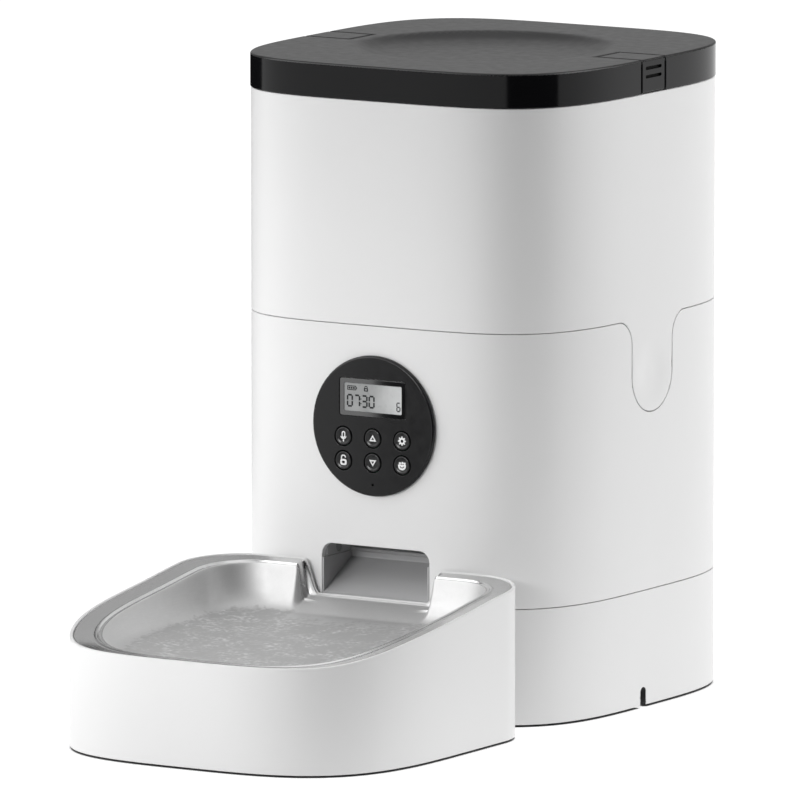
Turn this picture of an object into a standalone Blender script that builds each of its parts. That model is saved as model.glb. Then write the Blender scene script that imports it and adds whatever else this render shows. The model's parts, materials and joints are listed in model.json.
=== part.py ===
"""Automatic pet feeder: a lift-off food tank with a metering rotor over a base with the drive, the control
panel and the chute, and a steel bowl in a plastic tray in front of it. Metres, +Z up, front towards -Y."""

import math

import bmesh
import bpy
from mathutils import Matrix, Vector

MM = 0.001
GAP = 0.3 * MM  # clearance between pieces that touch

# Plan outline of the body: |x/a|^nx + |y/b|^ny = 1
BODY_HALF_WIDTH = 93.5 * MM
BODY_HALF_DEPTH = 98.75 * MM
BODY_POWER_X = 4.12
BODY_POWER_Y = 3.64
LID_PROUD = 0.34 * MM
OUTLINE_POINTS = 60
WALL = 3.0 * MM

# Heights of the body
SKIRT_BOTTOM = 1.0 * MM
LOWER_SEAM = 56.2 * MM
DECK_BOTTOM = 98.0 * MM
DECK_TOP = 101.0 * MM
UPPER_SEAM = 186.8 * MM
LID_BOTTOM = 293.7 * MM
HEIGHT = 310.0 * MM

# Tray and bowl, measured from the body's axis
TRAY_HALF_WIDTH = 90.6 * MM
TRAY_HALF_DEPTH = 105.4 * MM
TRAY_POWER = 3.387
TRAY_CENTRE_Y = -164.0 * MM
TRAY_BACK_Y = -100.0 * MM
TRAY_BACK_RADIUS = 29.0 * MM
TRAY_FRONT_Y = TRAY_CENTRE_Y - TRAY_HALF_DEPTH
TRAY_WALL = 2.4 * MM
TRAY_LEDGE = 6.0 * MM
RIM_WIDTH = 13.8 * MM
RIM_WIDTH_BACK = 7.6 * MM
RIM_DIP = 2.6 * MM
SPOUT_LIP = 57.6 * MM
SPOUT_FLARE = (29.8 * MM, 38.2 * MM)  # where the tray's rim comes down beside the spout
BOWL_NOTCH = (34.6 * MM, 38.4 * MM)  # the same for the bowl at its opening, where it is steeper
SPOUT_SLOPE = 0.4
SPOUT_STEPS = (43, 40.5, 38.4, 37.3, 36.5, 35.6, 34.6, 32.4, 29.8, 15, 0)
BOWL_WALL = 12.0 * MM
BOWL_FLOOR_FRONT = 44.8 * MM
BOWL_FLOOR_RISE = 5.4 * MM
BOWL_SHEET = 1.0 * MM

# Underside, batteries and electronics
CORNERS = ((1, 1), (-1, 1), (-1, -1), (1, -1))
SCREW_X = 70 * MM
SCREW_Y = 73 * MM
FOOT_X = 52 * MM
FOOT_Y = 76 * MM
PLATE_BOTTOM = 1.2 * MM
PLATE_TOP = 5.2 * MM
DOOR_SIZE = (110 * MM, 70 * MM)
DOOR_Y = 8 * MM
DOOR_TRAVEL = 14 * MM
JACK_Y = -7.7 * MM
SPEAKER = (-48 * MM, -58 * MM)
CELL_RADIUS = 16.6 * MM
CELL_PITCH = 34.6 * MM
CELL_LENGTH = 60 * MM
CELL_Z = 23.2 * MM

# Drive and rotor
ROTOR_Y = -8.0 * MM
ROTOR_RADIUS = 56.0 * MM
GEAR_MODULE = 1.25 * MM
GEAR_TEETH = 42
PINION_TEETH = 14
GEAR_CENTRES = GEAR_MODULE * (GEAR_TEETH + PINION_TEETH) / 2
PRESSURE_ANGLE = math.radians(20)
BACKLASH = 0.3 * MM

# Chute
CHUTE_HALF_WIDTH = 29.7 * MM
CHUTE_TOP = 81.5 * MM
CHUTE_SPLIT = 74.5 * MM
CHUTE_CORNER = 5.5 * MM

# Control panel
PANEL_Z = 139.4 * MM
PANEL_RADIUS = 33.5 * MM
PANEL_FACE = -101.0 * MM
BUTTON_RADIUS = 4.6 * MM
BUTTON_PITCH = 16.2 * MM
BUTTON_ROWS = (-5.8 * MM, -17.4 * MM)
DISPLAY_SIZE = (36.9 * MM, 18.3 * MM)
DISPLAY_Z = 13.2 * MM

# Press tongues of the tank and latches of the lid
TONGUE_HALF_WIDTH = 18.5 * MM
TONGUE_CENTRE_Z = 160.0 * MM
TONGUE_FILLET = 12.4 * MM
TONGUE_SEAM = 0.4 * MM
LATCH_HALF_WIDTH = 10.6 * MM
LATCH_REACH = 25.0 * MM
LATCH_PIN = (86.0 * MM, 304.0 * MM)
LATCH_GROOVE = 0.5 * MM

# The overall box is centred on the origin, so the body's axis stands behind it
BODY_Y = (-TRAY_FRONT_Y - BODY_HALF_DEPTH - LID_PROUD) / 2

COLOURS = {
    "white": ((0.83, 0.83, 0.83), 0.42, 0.0),
    "inner_white": ((0.72, 0.72, 0.71), 0.5, 0.0),
    "black": ((0.02, 0.02, 0.022), 0.25, 0.0),
    "grey": ((0.3, 0.3, 0.31), 0.5, 0.0),
    "glass": ((0.35, 0.36, 0.36), 0.15, 0.0),
    "steel": ((0.66, 0.66, 0.66), 0.28, 1.0),
    "brass": ((0.75, 0.55, 0.25), 0.35, 1.0),
    "rubber": ((0.05, 0.05, 0.05), 0.8, 0.0),
    "silicone": ((0.6, 0.62, 0.62), 0.6, 0.0),
    "gear": ((0.82, 0.8, 0.72), 0.45, 0.0),
    "board": ((0.02, 0.16, 0.07), 0.5, 0.0),
    "battery": ((0.1, 0.1, 0.12), 0.35, 0.2),
}


# ---------------------------------------------------------------- scene and helpers


def clear_scene():
    for obj in list(bpy.data.objects):
        bpy.data.objects.remove(obj, do_unlink=True)


def new_collection(name):
    collection = bpy.data.collections.new(name)
    bpy.context.scene.collection.children.link(collection)
    return collection


def material(name):
    found = bpy.data.materials.get(name)
    if found:
        return found
    colour, roughness, metallic = COLOURS[name]
    made = bpy.data.materials.new(name)
    made.use_nodes = True
    shader = made.node_tree.nodes["Principled BSDF"]
    shader.inputs["Base Color"].default_value = (*colour, 1.0)
    shader.inputs["Roughness"].default_value = roughness
    shader.inputs["Metallic"].default_value = metallic
    return made


def object_of(bm, name, colour, origin=(0, 0, 0)):
    """Turns the bmesh, in body coordinates, into an object whose origin is the point given."""
    bmesh.ops.recalc_face_normals(bm, faces=bm.faces)
    bmesh.ops.translate(bm, verts=bm.verts, vec=-Vector(origin))
    mesh = bpy.data.meshes.new(name)
    bm.to_mesh(mesh)
    bm.free()
    mesh.shade_smooth()
    mesh.set_sharp_from_angle(angle=math.radians(32))
    obj = bpy.data.objects.new(name, mesh)
    obj.location = origin
    obj.parent = AXIS
    if colour:
        obj.data.materials.append(material(colour))
        PARTS.objects.link(obj)
    else:
        obj.hide_render = True
        obj.display_type = "WIRE"
        CUTTERS.objects.link(obj)
    return obj


def box(low, high):
    bm = bmesh.new()
    bmesh.ops.create_cube(bm, size=1)
    low, high = Vector(low), Vector(high)
    bmesh.ops.scale(bm, verts=bm.verts, vec=high - low)
    bmesh.ops.translate(bm, verts=bm.verts, vec=(low + high) / 2)
    return bm


def turn(axis):
    """The matrix that turns +Z to the axis named."""
    return {
        "X": Matrix.Rotation(math.pi / 2, 3, "Y"),
        "Y": Matrix.Rotation(-math.pi / 2, 3, "X"),
        "Z": Matrix.Identity(3),
    }[axis]


def cylinder(centre, radius, length, axis="Z", sides=24, top_radius=None):
    """A cylinder or cone that starts at the centre given and runs along the axis."""
    bm = bmesh.new()
    tip = radius if top_radius is None else top_radius
    bmesh.ops.create_cone(bm, cap_ends=True, segments=sides, radius1=radius, radius2=tip, depth=length)
    bmesh.ops.translate(bm, verts=bm.verts, vec=(0, 0, length / 2))
    bmesh.ops.rotate(bm, verts=bm.verts, cent=(0, 0, 0), matrix=turn(axis))
    bmesh.ops.translate(bm, verts=bm.verts, vec=centre)
    return bm


def prism(points, low, high, axis="Z"):
    """A flat outline pushed along an axis: (x, y) for Z, (x, z) for Y and (y, z) for X."""
    places = {
        "Z": lambda u, v: (u, v, low),
        "Y": lambda u, v: (u, low, v),
        "X": lambda u, v: (low, u, v),
    }
    pushes = {"Z": (0, 0, high - low), "Y": (0, high - low, 0), "X": (high - low, 0, 0)}
    bm = bmesh.new()
    face = bm.faces.new([bm.verts.new(places[axis](u, v)) for u, v in points])
    pushed = bmesh.ops.extrude_face_region(bm, geom=[face])["geom"]
    moved = [v for v in pushed if isinstance(v, bmesh.types.BMVert)]
    bmesh.ops.translate(bm, verts=moved, vec=pushes[axis])
    return bm


def bridge(bm, chain):
    """Faces between each ring of points and the next."""
    for first, second in zip(chain, chain[1:]):
        for i in range(len(first)):
            j = (i + 1) % len(first)
            bm.faces.new((first[i], first[j], second[j], second[i]))


def loft(rings, joined=False):
    """A skin through rings of equal count, capped at both ends, or joined from the last ring to the first."""
    bm = bmesh.new()
    made = [[bm.verts.new(point) for point in ring] for ring in rings]
    if joined:
        made.append(made[0])
    else:
        bm.faces.new(made[0])
        bm.faces.new(made[-1])
    bridge(bm, made)
    return bm


def solid(name, bm, colour, origin=(0, 0, 0)):
    return object_of(bm, name, colour, origin)


def cutter(name, bm):
    return object_of(bm, name, None)


def boolean(obj, other, operation):
    modifier = obj.modifiers.new(operation.lower(), "BOOLEAN")
    modifier.operation = operation
    modifier.solver = "EXACT"
    modifier.object = other


def cut(obj, name, bm):
    boolean(obj, cutter(f"{name}_cutter", bm), "DIFFERENCE")


def join(obj, name, bm):
    boolean(obj, cutter(f"{name}_joined", bm), "UNION")


def keep(obj, name, bm):
    boolean(obj, cutter(f"{name}_kept", bm), "INTERSECT")


# ---------------------------------------------------------------- outlines


def arc(centre, radius, start, end, count):
    """Points along an arc, both ends included, angles in degrees."""
    found = []
    for i in range(count):
        angle = math.radians(start + (end - start) * i / (count - 1))
        found.append((centre[0] + radius * math.cos(angle), centre[1] + radius * math.sin(angle)))
    return found


def rounded_box(width, depth, radius, centre=(0, 0), count=5):
    x, y = width / 2 - radius, depth / 2 - radius
    corners = ((x, y, 0), (-x, y, 90), (-x, -y, 180), (x, -y, 270))
    points = []
    for cx, cy, start in corners:
        points += arc((centre[0] + cx, centre[1] + cy), radius, start, start + 90, count)
    return points


def body_radius(angle, inset=0.0):
    """Distance from the axis to the body's outline in one direction."""
    a, b = BODY_HALF_WIDTH - inset, BODY_HALF_DEPTH - inset
    low, high = 0.0, a + b
    for _ in range(50):
        middle = (low + high) / 2
        x, y = abs(middle * math.cos(angle) / a), abs(middle * math.sin(angle) / b)
        if x**BODY_POWER_X + y**BODY_POWER_Y < 1:
            low = middle
        else:
            high = middle
    return (low + high) / 2


def body_outline(inset=0.0):
    points = []
    for i in range(OUTLINE_POINTS):
        angle = 2 * math.pi * i / OUTLINE_POINTS
        radius = body_radius(angle, inset)
        points.append((radius * math.cos(angle), radius * math.sin(angle)))
    return points


def circle_outline(radius, centre=(0, 0), count=OUTLINE_POINTS):
    return arc(centre, radius, 0, 360 - 360 / count, count)


def at(outline, z):
    return [(x, y, z) for x, y in outline]


def tube(outer, inner, low, high):
    return loft([at(outer, low), at(outer, high), at(inner, high), at(inner, low)], joined=True)


# ---------------------------------------------------------------- shells of the base


def tongue_outline(half_width, fillet, top):
    """A U that flares into the seam above it by a fillet on each side, as (y, z)."""
    centre_y = TONGUE_HALF_WIDTH + TONGUE_FILLET
    centre_z = UPPER_SEAM - TONGUE_FILLET + TONGUE_SEAM
    reach = math.degrees(math.asin(min(1.0, (min(top, centre_z + fillet) - centre_z) / fillet)))
    right = arc((centre_y, centre_z), fillet, 180 - reach, 180, 5)
    left = [(-y, z) for y, z in reversed(right)]
    bottom = arc((0, TONGUE_CENTRE_Z), half_width, 0, -180, 17)
    return right + bottom + left


def make_base_shell():
    shell = solid(
        "base_shell",
        tube(body_outline(), body_outline(WALL), LOWER_SEAM + GAP / 2, UPPER_SEAM - GAP / 2),
        "white",
    )
    top_corners = arc((CHUTE_HALF_WIDTH - CHUTE_CORNER, CHUTE_TOP - CHUTE_CORNER), CHUTE_CORNER, 0, 90, 6)
    mouth = top_corners + [(-x, z) for x, z in reversed(top_corners)]
    mouth += [(-CHUTE_HALF_WIDTH, LOWER_SEAM - 2 * MM), (CHUTE_HALF_WIDTH, LOWER_SEAM - 2 * MM)]
    cut(shell, "chute_mouth", prism(mouth, -120 * MM, -80 * MM, "Y"))
    cut(shell, "panel_hole", cylinder((0, -120 * MM, PANEL_Z), 31.6 * MM, 40 * MM, "Y", 40))
    sunk = tongue_outline(TONGUE_HALF_WIDTH + TONGUE_SEAM, TONGUE_FILLET - TONGUE_SEAM, UPPER_SEAM)
    ends = [(y, UPPER_SEAM + 5 * MM) for y in (sunk[-1][0], sunk[0][0])]
    cut(shell, "tongue_gap", prism(sunk + ends, -110 * MM, 110 * MM, "X"))
    return shell


def make_lower_shell():
    shell = solid(
        "lower_shell",
        tube(body_outline(), body_outline(WALL), SKIRT_BOTTOM, LOWER_SEAM - GAP / 2),
        "white",
    )
    notch_y, notch_half = -7.7 * MM, 2.5 * MM
    slot = [(notch_y + notch_half, -5 * MM)]
    slot += arc((notch_y, 7.2 * MM), notch_half, 0, 180, 9)
    slot += [(notch_y - notch_half, -5 * MM)]
    cut(shell, "cable_notch", prism(slot, 80 * MM, 110 * MM, "X"))
    for i, (sx, sy) in enumerate(CORNERS):
        post_x, post_y = sx * SCREW_X, sy * SCREW_Y
        join(shell, f"post_{i}", cylinder((post_x, post_y, 6 * MM), 4.2 * MM, 18 * MM, sides=16))
        rib = box((-1.3 * MM, 0, 6 * MM), (1.3 * MM, 11.5 * MM, 22 * MM))
        angle = math.atan2(sy * 1.05, sx) - math.pi / 2
        bmesh.ops.rotate(rib, verts=rib.verts, cent=(0, 0, 0), matrix=Matrix.Rotation(angle, 3, "Z"))
        bmesh.ops.translate(rib, verts=rib.verts, vec=(post_x, post_y, 0))
        join(shell, f"rib_{i}", rib)
        cut(shell, f"pilot_{i}", cylinder((post_x, post_y, 5 * MM), 1.75 * MM, 16 * MM, sides=12))
    return shell


def make_bottom_plate():
    plate = solid("bottom_plate", prism(body_outline(WALL + GAP), PLATE_BOTTOM, PLATE_TOP), "inner_white")
    recess_depth = DOOR_SIZE[1] + DOOR_TRAVEL + 1.2 * MM
    recess = rounded_box(DOOR_SIZE[0] + 0.8 * MM, recess_depth, 4 * MM, (0, DOOR_Y + DOOR_TRAVEL / 2))
    cut(plate, "door_recess", prism(recess, 0, 3.5 * MM))
    hatch = rounded_box(DOOR_SIZE[0] - 6 * MM, DOOR_SIZE[1] - 5 * MM, 3 * MM, (0, DOOR_Y))
    cut(plate, "hatch", prism(hatch, 0, 8 * MM))
    cut(plate, "jack_channel", box((70 * MM, JACK_Y - 4.5 * MM, 0), (95 * MM, JACK_Y + 4.5 * MM, 8 * MM)))
    for i, (sx, sy) in enumerate(CORNERS):
        centre = (sx * SCREW_X, sy * SCREW_Y)
        cut(plate, f"screw_hole_{i}", cylinder((*centre, 0), 1.8 * MM, 8 * MM, sides=12))
        cut(plate, f"screw_sink_{i}", cylinder((*centre, 0), 3.8 * MM, 3.2 * MM, sides=16))
    for i in range(5):
        angle = 2 * math.pi * i / 5
        spot = (SPEAKER[0] + 7 * MM * math.cos(angle), SPEAKER[1] + 7 * MM * math.sin(angle), 0)
        cut(plate, f"sound_hole_{i}", cylinder(spot, 1.5 * MM, 8 * MM, sides=10))
    for i, (sx, sy) in enumerate(CORNERS):
        foot = cylinder((sx * FOOT_X, sy * FOOT_Y, 0), 6 * MM, 0.9 * MM, sides=20)
        solid(f"foot_{i + 1}", foot, "rubber")
        screw = cylinder((sx * SCREW_X, sy * SCREW_Y, 1.3 * MM), 3.2 * MM, 1.6 * MM, sides=16)
        made = solid(f"case_screw_{i + 1}", screw, "steel")
        shank = cylinder((sx * SCREW_X, sy * SCREW_Y, 2.5 * MM), 1.4 * MM, 15 * MM, sides=12)
        join(made, f"shank_{i}", shank)
    return plate


def make_batteries():
    low_x, high_x = -DOOR_SIZE[0] / 2, DOOR_SIZE[0] / 2
    box_low, box_high = DOOR_Y - 36 * MM, DOOR_Y + 36 * MM
    case = solid("battery_box", box((low_x, box_low, 5.6 * MM), (high_x, box_high, 42 * MM)), "inner_white")
    inside = box((low_x + 2 * MM, box_low + 2 * MM, 0), (high_x - 2 * MM, box_high - 2 * MM, 40 * MM))
    cut(case, "cell_space", inside)
    for i in range(3):
        x = (i - 1) * CELL_PITCH
        cell = cylinder((x, DOOR_Y - CELL_LENGTH / 2, CELL_Z), CELL_RADIUS, CELL_LENGTH - 2 * MM, "Y", 28)
        made = solid(f"battery_cell_{i + 1}", cell, "battery")
        nub = cylinder((x, DOOR_Y + CELL_LENGTH / 2 - 3 * MM, CELL_Z), 5 * MM, 3 * MM, "Y", 16)
        join(made, f"cell_nub_{i}", nub)
    for name, y in (("front", box_low + 2.3 * MM), ("back", box_high - 2.7 * MM)):
        strip = box((low_x + 4 * MM, y, 14 * MM), (high_x - 4 * MM, y + 0.4 * MM, 32 * MM))
        solid(f"battery_contact_{name}", strip, "brass")
    door = rounded_box(*DOOR_SIZE, 3.6 * MM, (0, DOOR_Y))
    made = solid("battery_door", prism(door, 1.4 * MM, 3.2 * MM), "inner_white")
    for i in range(3):
        ridge_y = DOOR_Y - 30 * MM + i * 3 * MM
        ridge = box((-14 * MM, ridge_y, 1.0 * MM), (14 * MM, ridge_y + 1.4 * MM, 1.6 * MM))
        join(made, f"door_ridge_{i}", ridge)


def make_electronics():
    board = solid("main_board", box((-36 * MM, 4 * MM, 43.5 * MM), (-14 * MM, 60 * MM, 45.1 * MM)), "board")
    for i, (dx, dy, height) in enumerate(((6, 10, 5), (14, 24, 3), (6, 40, 8))):
        low = (-36 * MM + dx * MM, 4 * MM + dy * MM, 44 * MM)
        join(board, f"chip_{i}", box(low, (low[0] + 7 * MM, low[1] + 9 * MM, 45 * MM + height * MM)))
    block = box((56 * MM, JACK_Y - 5 * MM, 5.6 * MM), (69.5 * MM, JACK_Y + 5 * MM, 16 * MM))
    jack = solid("dc_jack", block, "grey")
    cut(jack, "jack_socket", cylinder((60 * MM, JACK_Y, 10.8 * MM), 3.4 * MM, 20 * MM, "X", 20))
    speaker = solid("speaker", cylinder((*SPEAKER, 5.6 * MM), 14 * MM, 3 * MM, sides=28), "grey")
    join(speaker, "speaker_magnet", cylinder((*SPEAKER, 8 * MM), 8 * MM, 6 * MM, sides=20))


# ---------------------------------------------------------------- chute


def make_chute():
    wall, inner = 2.0 * MM, 28.7 * MM
    front, back = -95.2 * MM, -74.5 * MM
    top = DECK_BOTTOM - GAP
    split = CHUTE_SPLIT + GAP / 2
    drop_front, drop_back = -66 * MM, -43 * MM
    outside = [(front, split), (front, 83.6 * MM), (drop_front - wall, top), (drop_back + wall, top)]
    outside += [(back + wall, 74 * MM + 2.5 * MM), (back + wall, split)]
    hood = solid("chute_hood", prism(outside, -inner - wall, inner + wall, "X"), "grey")
    passage = [(front - 5 * MM, split - MM), (front - 5 * MM, 81.2 * MM), (front, 81.2 * MM)]
    passage += [(drop_front, top), (drop_front, top + MM), (drop_back, top + MM), (drop_back, top)]
    passage += [(back, 76 * MM), (back, split - MM)]
    cut(hood, "hood_passage", prism(passage, -inner, inner, "X"))
    eye = (-84.5 * MM, 78.2 * MM)
    cut(hood, "eye_holes", cylinder((-40 * MM, *eye), 2.9 * MM, 80 * MM, "X", 16))
    for name, side in (("ir_emitter", 1), ("ir_receiver", -1)):
        low_x = 29 * MM if side > 0 else -35 * MM
        solid(name, cylinder((low_x, *eye), 2.5 * MM, 6 * MM, "X", 16), "black")
    ramp_top, lip = (back + MM, 71.6 * MM), (-98.2 * MM, 58.2 * MM)
    low, high = LOWER_SEAM + 0.25 * MM, CHUTE_SPLIT - GAP / 2
    outside = [(front, low), (front, high), (back + wall, high), (back + wall, 69.4 * MM)]
    outside += [(front + 4 * MM, low)]
    ramp = solid("chute_ramp", prism(outside, -inner - wall, inner + wall, "X"), "grey")
    lip_half = CHUTE_HALF_WIDTH - GAP
    join(ramp, "ramp_lip", box((-lip_half, -98.4 * MM, low), (lip_half, front + MM, high)))
    slope = [(-100 * MM, 57.2 * MM), lip, ramp_top, (ramp_top[0], 80 * MM), (-100 * MM, 80 * MM)]
    cut(ramp, "ramp_space", prism(slope, -inner, inner, "X"))


# ---------------------------------------------------------------- control panel


def button_places():
    columns = (-BUTTON_PITCH, 0.0, BUTTON_PITCH)
    names = (("record", "up", "settings"), ("lock", "down", "feed"))
    places = []
    for row, z in zip(names, BUTTON_ROWS):
        places += [(name, x, PANEL_Z + z) for name, x in zip(row, columns)]
    return places


def make_panel():
    bezel = solid("panel_bezel", cylinder((0, PANEL_FACE, PANEL_Z), PANEL_RADIUS, 1.9 * MM, "Y", 48), "black")
    join(bezel, "bezel_barrel", cylinder((0, -99.6 * MM, PANEL_Z), 31.2 * MM, 7.6 * MM, "Y", 48))
    cut(bezel, "bezel_inside", cylinder((0, -98.6 * MM, PANEL_Z), 29.6 * MM, 20 * MM, "Y", 48))
    width, height = DISPLAY_SIZE
    seat = rounded_box(width, height, 1.4 * MM, (0, PANEL_Z + DISPLAY_Z))
    cut(bezel, "display_seat", prism(seat, PANEL_FACE - MM, PANEL_FACE + 1.2 * MM, "Y"))
    window_hole = rounded_box(31.8 * MM, 13.3 * MM, 0.8 * MM, (0, PANEL_Z + DISPLAY_Z))
    cut(bezel, "display_hole", prism(window_hole, PANEL_FACE - MM, -95 * MM, "Y"))
    cut(bezel, "mic_hole", cylinder((0, PANEL_FACE - MM, PANEL_Z - 28 * MM), 0.65 * MM, 8 * MM, "Y", 10))
    window = rounded_box(width - 0.6 * MM, height - 0.6 * MM, 1.1 * MM, (0, PANEL_Z + DISPLAY_Z))
    solid("display_window", prism(window, PANEL_FACE + 0.1 * MM, PANEL_FACE + 0.9 * MM, "Y"), "glass")
    low = (-width / 2, -98.2 * MM, PANEL_Z + DISPLAY_Z - 9.6 * MM)
    solid("display_module", box(low, (width / 2, -94.6 * MM, low[2] + 19.2 * MM)), "glass")
    board = cylinder((0, -93.4 * MM, PANEL_Z), 29 * MM, 1.6 * MM, "Y", 40)
    control_board = solid("control_board", board, "board")
    for name, x, z in button_places():
        hole = cylinder((x, PANEL_FACE - MM, z), BUTTON_RADIUS + 0.35 * MM, 5 * MM, "Y", 24)
        cut(bezel, f"{name}_hole", hole)
        cap = cylinder((x, PANEL_FACE - 0.15 * MM, z), BUTTON_RADIUS, 3.1 * MM, "Y", 20)
        button = solid(f"button_{name}", cap, "black", (x, PANEL_FACE, z))
        join(button, f"{name}_flange", cylinder((x, -98.3 * MM, z), 5.6 * MM, 0.8 * MM, "Y", 16))
        join(button, f"{name}_stem", cylinder((x, -97.8 * MM, z), 1.6 * MM, 1.2 * MM, "Y", 8))
        switch = box((x - 2.5 * MM, -95.6 * MM, z - 2.5 * MM), (x + 2.5 * MM, -93 * MM, z + 2.5 * MM))
        join(control_board, f"{name}_switch", switch)


# ---------------------------------------------------------------- deck and drive


def make_deck():
    deck = solid("drive_deck", prism(body_outline(WALL + GAP), DECK_BOTTOM, DECK_TOP), "inner_white")
    cut(deck, "coupling_hole", cylinder((0, ROTOR_Y, 90 * MM), 10 * MM, 20 * MM, sides=24))
    drop = rounded_box(55 * MM, 23 * MM, 4 * MM, (0, -54.5 * MM))
    cut(deck, "drop_hole", prism(drop, 90 * MM, 110 * MM))
    return deck


def involute(angle):
    return math.tan(angle) - angle


def gear_outline(teeth, centre, first_tooth, flank_points=3):
    """Involute teeth on a module, thinned by the backlash, with one tooth centred on the angle given."""
    pitch = GEAR_MODULE * teeth / 2
    base = pitch * math.cos(PRESSURE_ANGLE)
    tip, root = pitch + 0.92 * GEAR_MODULE, pitch - 1.3 * GEAR_MODULE
    half_tooth = math.pi / (2 * teeth) - BACKLASH / (2 * pitch)
    start = max(base, root)
    flank = []
    for i in range(flank_points):
        radius = start + (tip - start) * i / (flank_points - 1)
        lean = involute(math.acos(min(1.0, base / radius)))
        flank.append((radius, half_tooth + involute(PRESSURE_ANGLE) - lean))
    if root < base:
        flank.insert(0, (root, flank[0][1]))
    points = []
    for tooth in range(teeth):
        middle = first_tooth + 2 * math.pi * tooth / teeth
        side = [(radius, middle - half) for radius, half in flank]
        side += [(radius, middle + half) for radius, half in reversed(flank)]
        points += [(centre[0] + r * math.cos(t), centre[1] + r * math.sin(t)) for r, t in side]
    return points


def hexagon(flats, centre):
    return arc(centre, flats / math.sqrt(3), 0, 300, 6)


def make_drive():
    gear_centre = (0, ROTOR_Y)
    motor_centre = (0, ROTOR_Y + GEAR_CENTRES)
    low, high = 84.6 * MM, DECK_BOTTOM - GAP
    room = gear_room(28.6 * MM, 11.4 * MM)
    housing = solid("gearbox_housing", prism(gear_room(30.4 * MM, 13.2 * MM), low, high), "grey")
    cut(housing, "gear_space", prism(room, low + 2.4 * MM, high + MM))
    cut(housing, "bearing_hole", cylinder((*gear_centre, low - MM), 4.2 * MM, 5 * MM, sides=20))
    cut(housing, "shaft_hole", cylinder((*motor_centre, low - MM), 4 * MM, 5 * MM, sides=20))
    lid_low = high - 2.2 * MM
    cover = solid("gearbox_cover", prism(gear_room(28.2 * MM, 11.0 * MM), lid_low, high - 0.2 * MM), "grey")
    cut(cover, "cover_hole", cylinder((*gear_centre, lid_low - MM), 8.4 * MM, 6 * MM, sides=24))
    origin = (*gear_centre, 90 * MM)
    teeth = gear_outline(GEAR_TEETH, gear_centre, math.pi / 2)
    gear = solid("output_gear", prism(teeth, 88.4 * MM, 93.4 * MM), "gear", origin)
    cut(gear, "gear_bore", prism(hexagon(12.6 * MM, gear_centre), 80 * MM, 100 * MM))
    shaft = prism(hexagon(12 * MM, gear_centre), 87.4 * MM, 112 * MM)
    coupling = solid("drive_coupling", shaft, "gear", origin)
    join(coupling, "coupling_journal", cylinder((*gear_centre, 83.6 * MM), 4 * MM, 5 * MM, sides=20))
    pinion_teeth = gear_outline(PINION_TEETH, motor_centre, -math.pi / 2 + math.pi / PINION_TEETH)
    origin = (*motor_centre, 90 * MM)
    pinion = solid("motor_pinion", prism(pinion_teeth, 88 * MM, 93.8 * MM), "brass", origin)
    join(pinion, "motor_shaft", cylinder((*motor_centre, 78 * MM), 1.5 * MM, 12 * MM, sides=16))
    motor = solid("drive_motor", cylinder((*motor_centre, 50 * MM), 12.2 * MM, 34.3 * MM, sides=32), "steel")
    cut(motor, "motor_bore", cylinder((*motor_centre, 77 * MM), 1.7 * MM, 10 * MM, sides=16))


def gear_room(big, small):
    """The outline round the output gear and the pinion: two arcs and the lines that touch both."""
    motor_y = ROTOR_Y + GEAR_CENTRES
    lean = math.degrees(math.asin((big - small) / GEAR_CENTRES))
    top = arc((0, motor_y), small, lean, 180 - lean, 11)
    bottom = arc((0, ROTOR_Y), big, 180 - lean, 360 + lean, 33)
    return top + bottom


# ---------------------------------------------------------------- tank and rotor


def make_tank():
    mouth = LID_BOTTOM - GAP
    seam = UPPER_SEAM + GAP / 2
    skirt_inset, wall = 5.2 * MM, 2.4 * MM
    outer_low, inner_low = circle_outline(61 * MM, (0, ROTOR_Y)), circle_outline(58.4 * MM, (0, ROTOR_Y))
    rings = [
        at(body_outline(), mouth),
        at(body_outline(wall), mouth),
        at(body_outline(wall), seam + 6 * MM),
        at(body_outline(skirt_inset + wall), seam + MM),
        at(body_outline(skirt_inset + wall), 178.4 * MM),
        at(inner_low, 140 * MM),
        at(inner_low, 137 * MM),
        at(outer_low, 137 * MM),
        at(outer_low, 138.6 * MM),
        at(body_outline(skirt_inset), 176 * MM),
        at(body_outline(skirt_inset), seam - 2 * MM),
        at(body_outline(skirt_inset), seam),
        at(body_outline(), seam),
    ]
    tank = solid("tank_shell", loft(rings, joined=True), "white")
    for side, name in ((1, "right"), (-1, "left")):
        shell = tube(body_outline(), body_outline(2.4 * MM), 130 * MM, UPPER_SEAM - GAP / 2)
        origin = (side * 91.5 * MM, 0, UPPER_SEAM - 2 * MM)
        tongue = solid(f"tank_release_{name}", shell, "white", origin)
        outline = tongue_outline(TONGUE_HALF_WIDTH, TONGUE_FILLET, UPPER_SEAM - GAP / 2)
        near, far = sorted((side * 60 * MM, side * 110 * MM))
        keep(tongue, f"tongue_{name}", prism(outline, near, far, "X"))
    return tank


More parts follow.
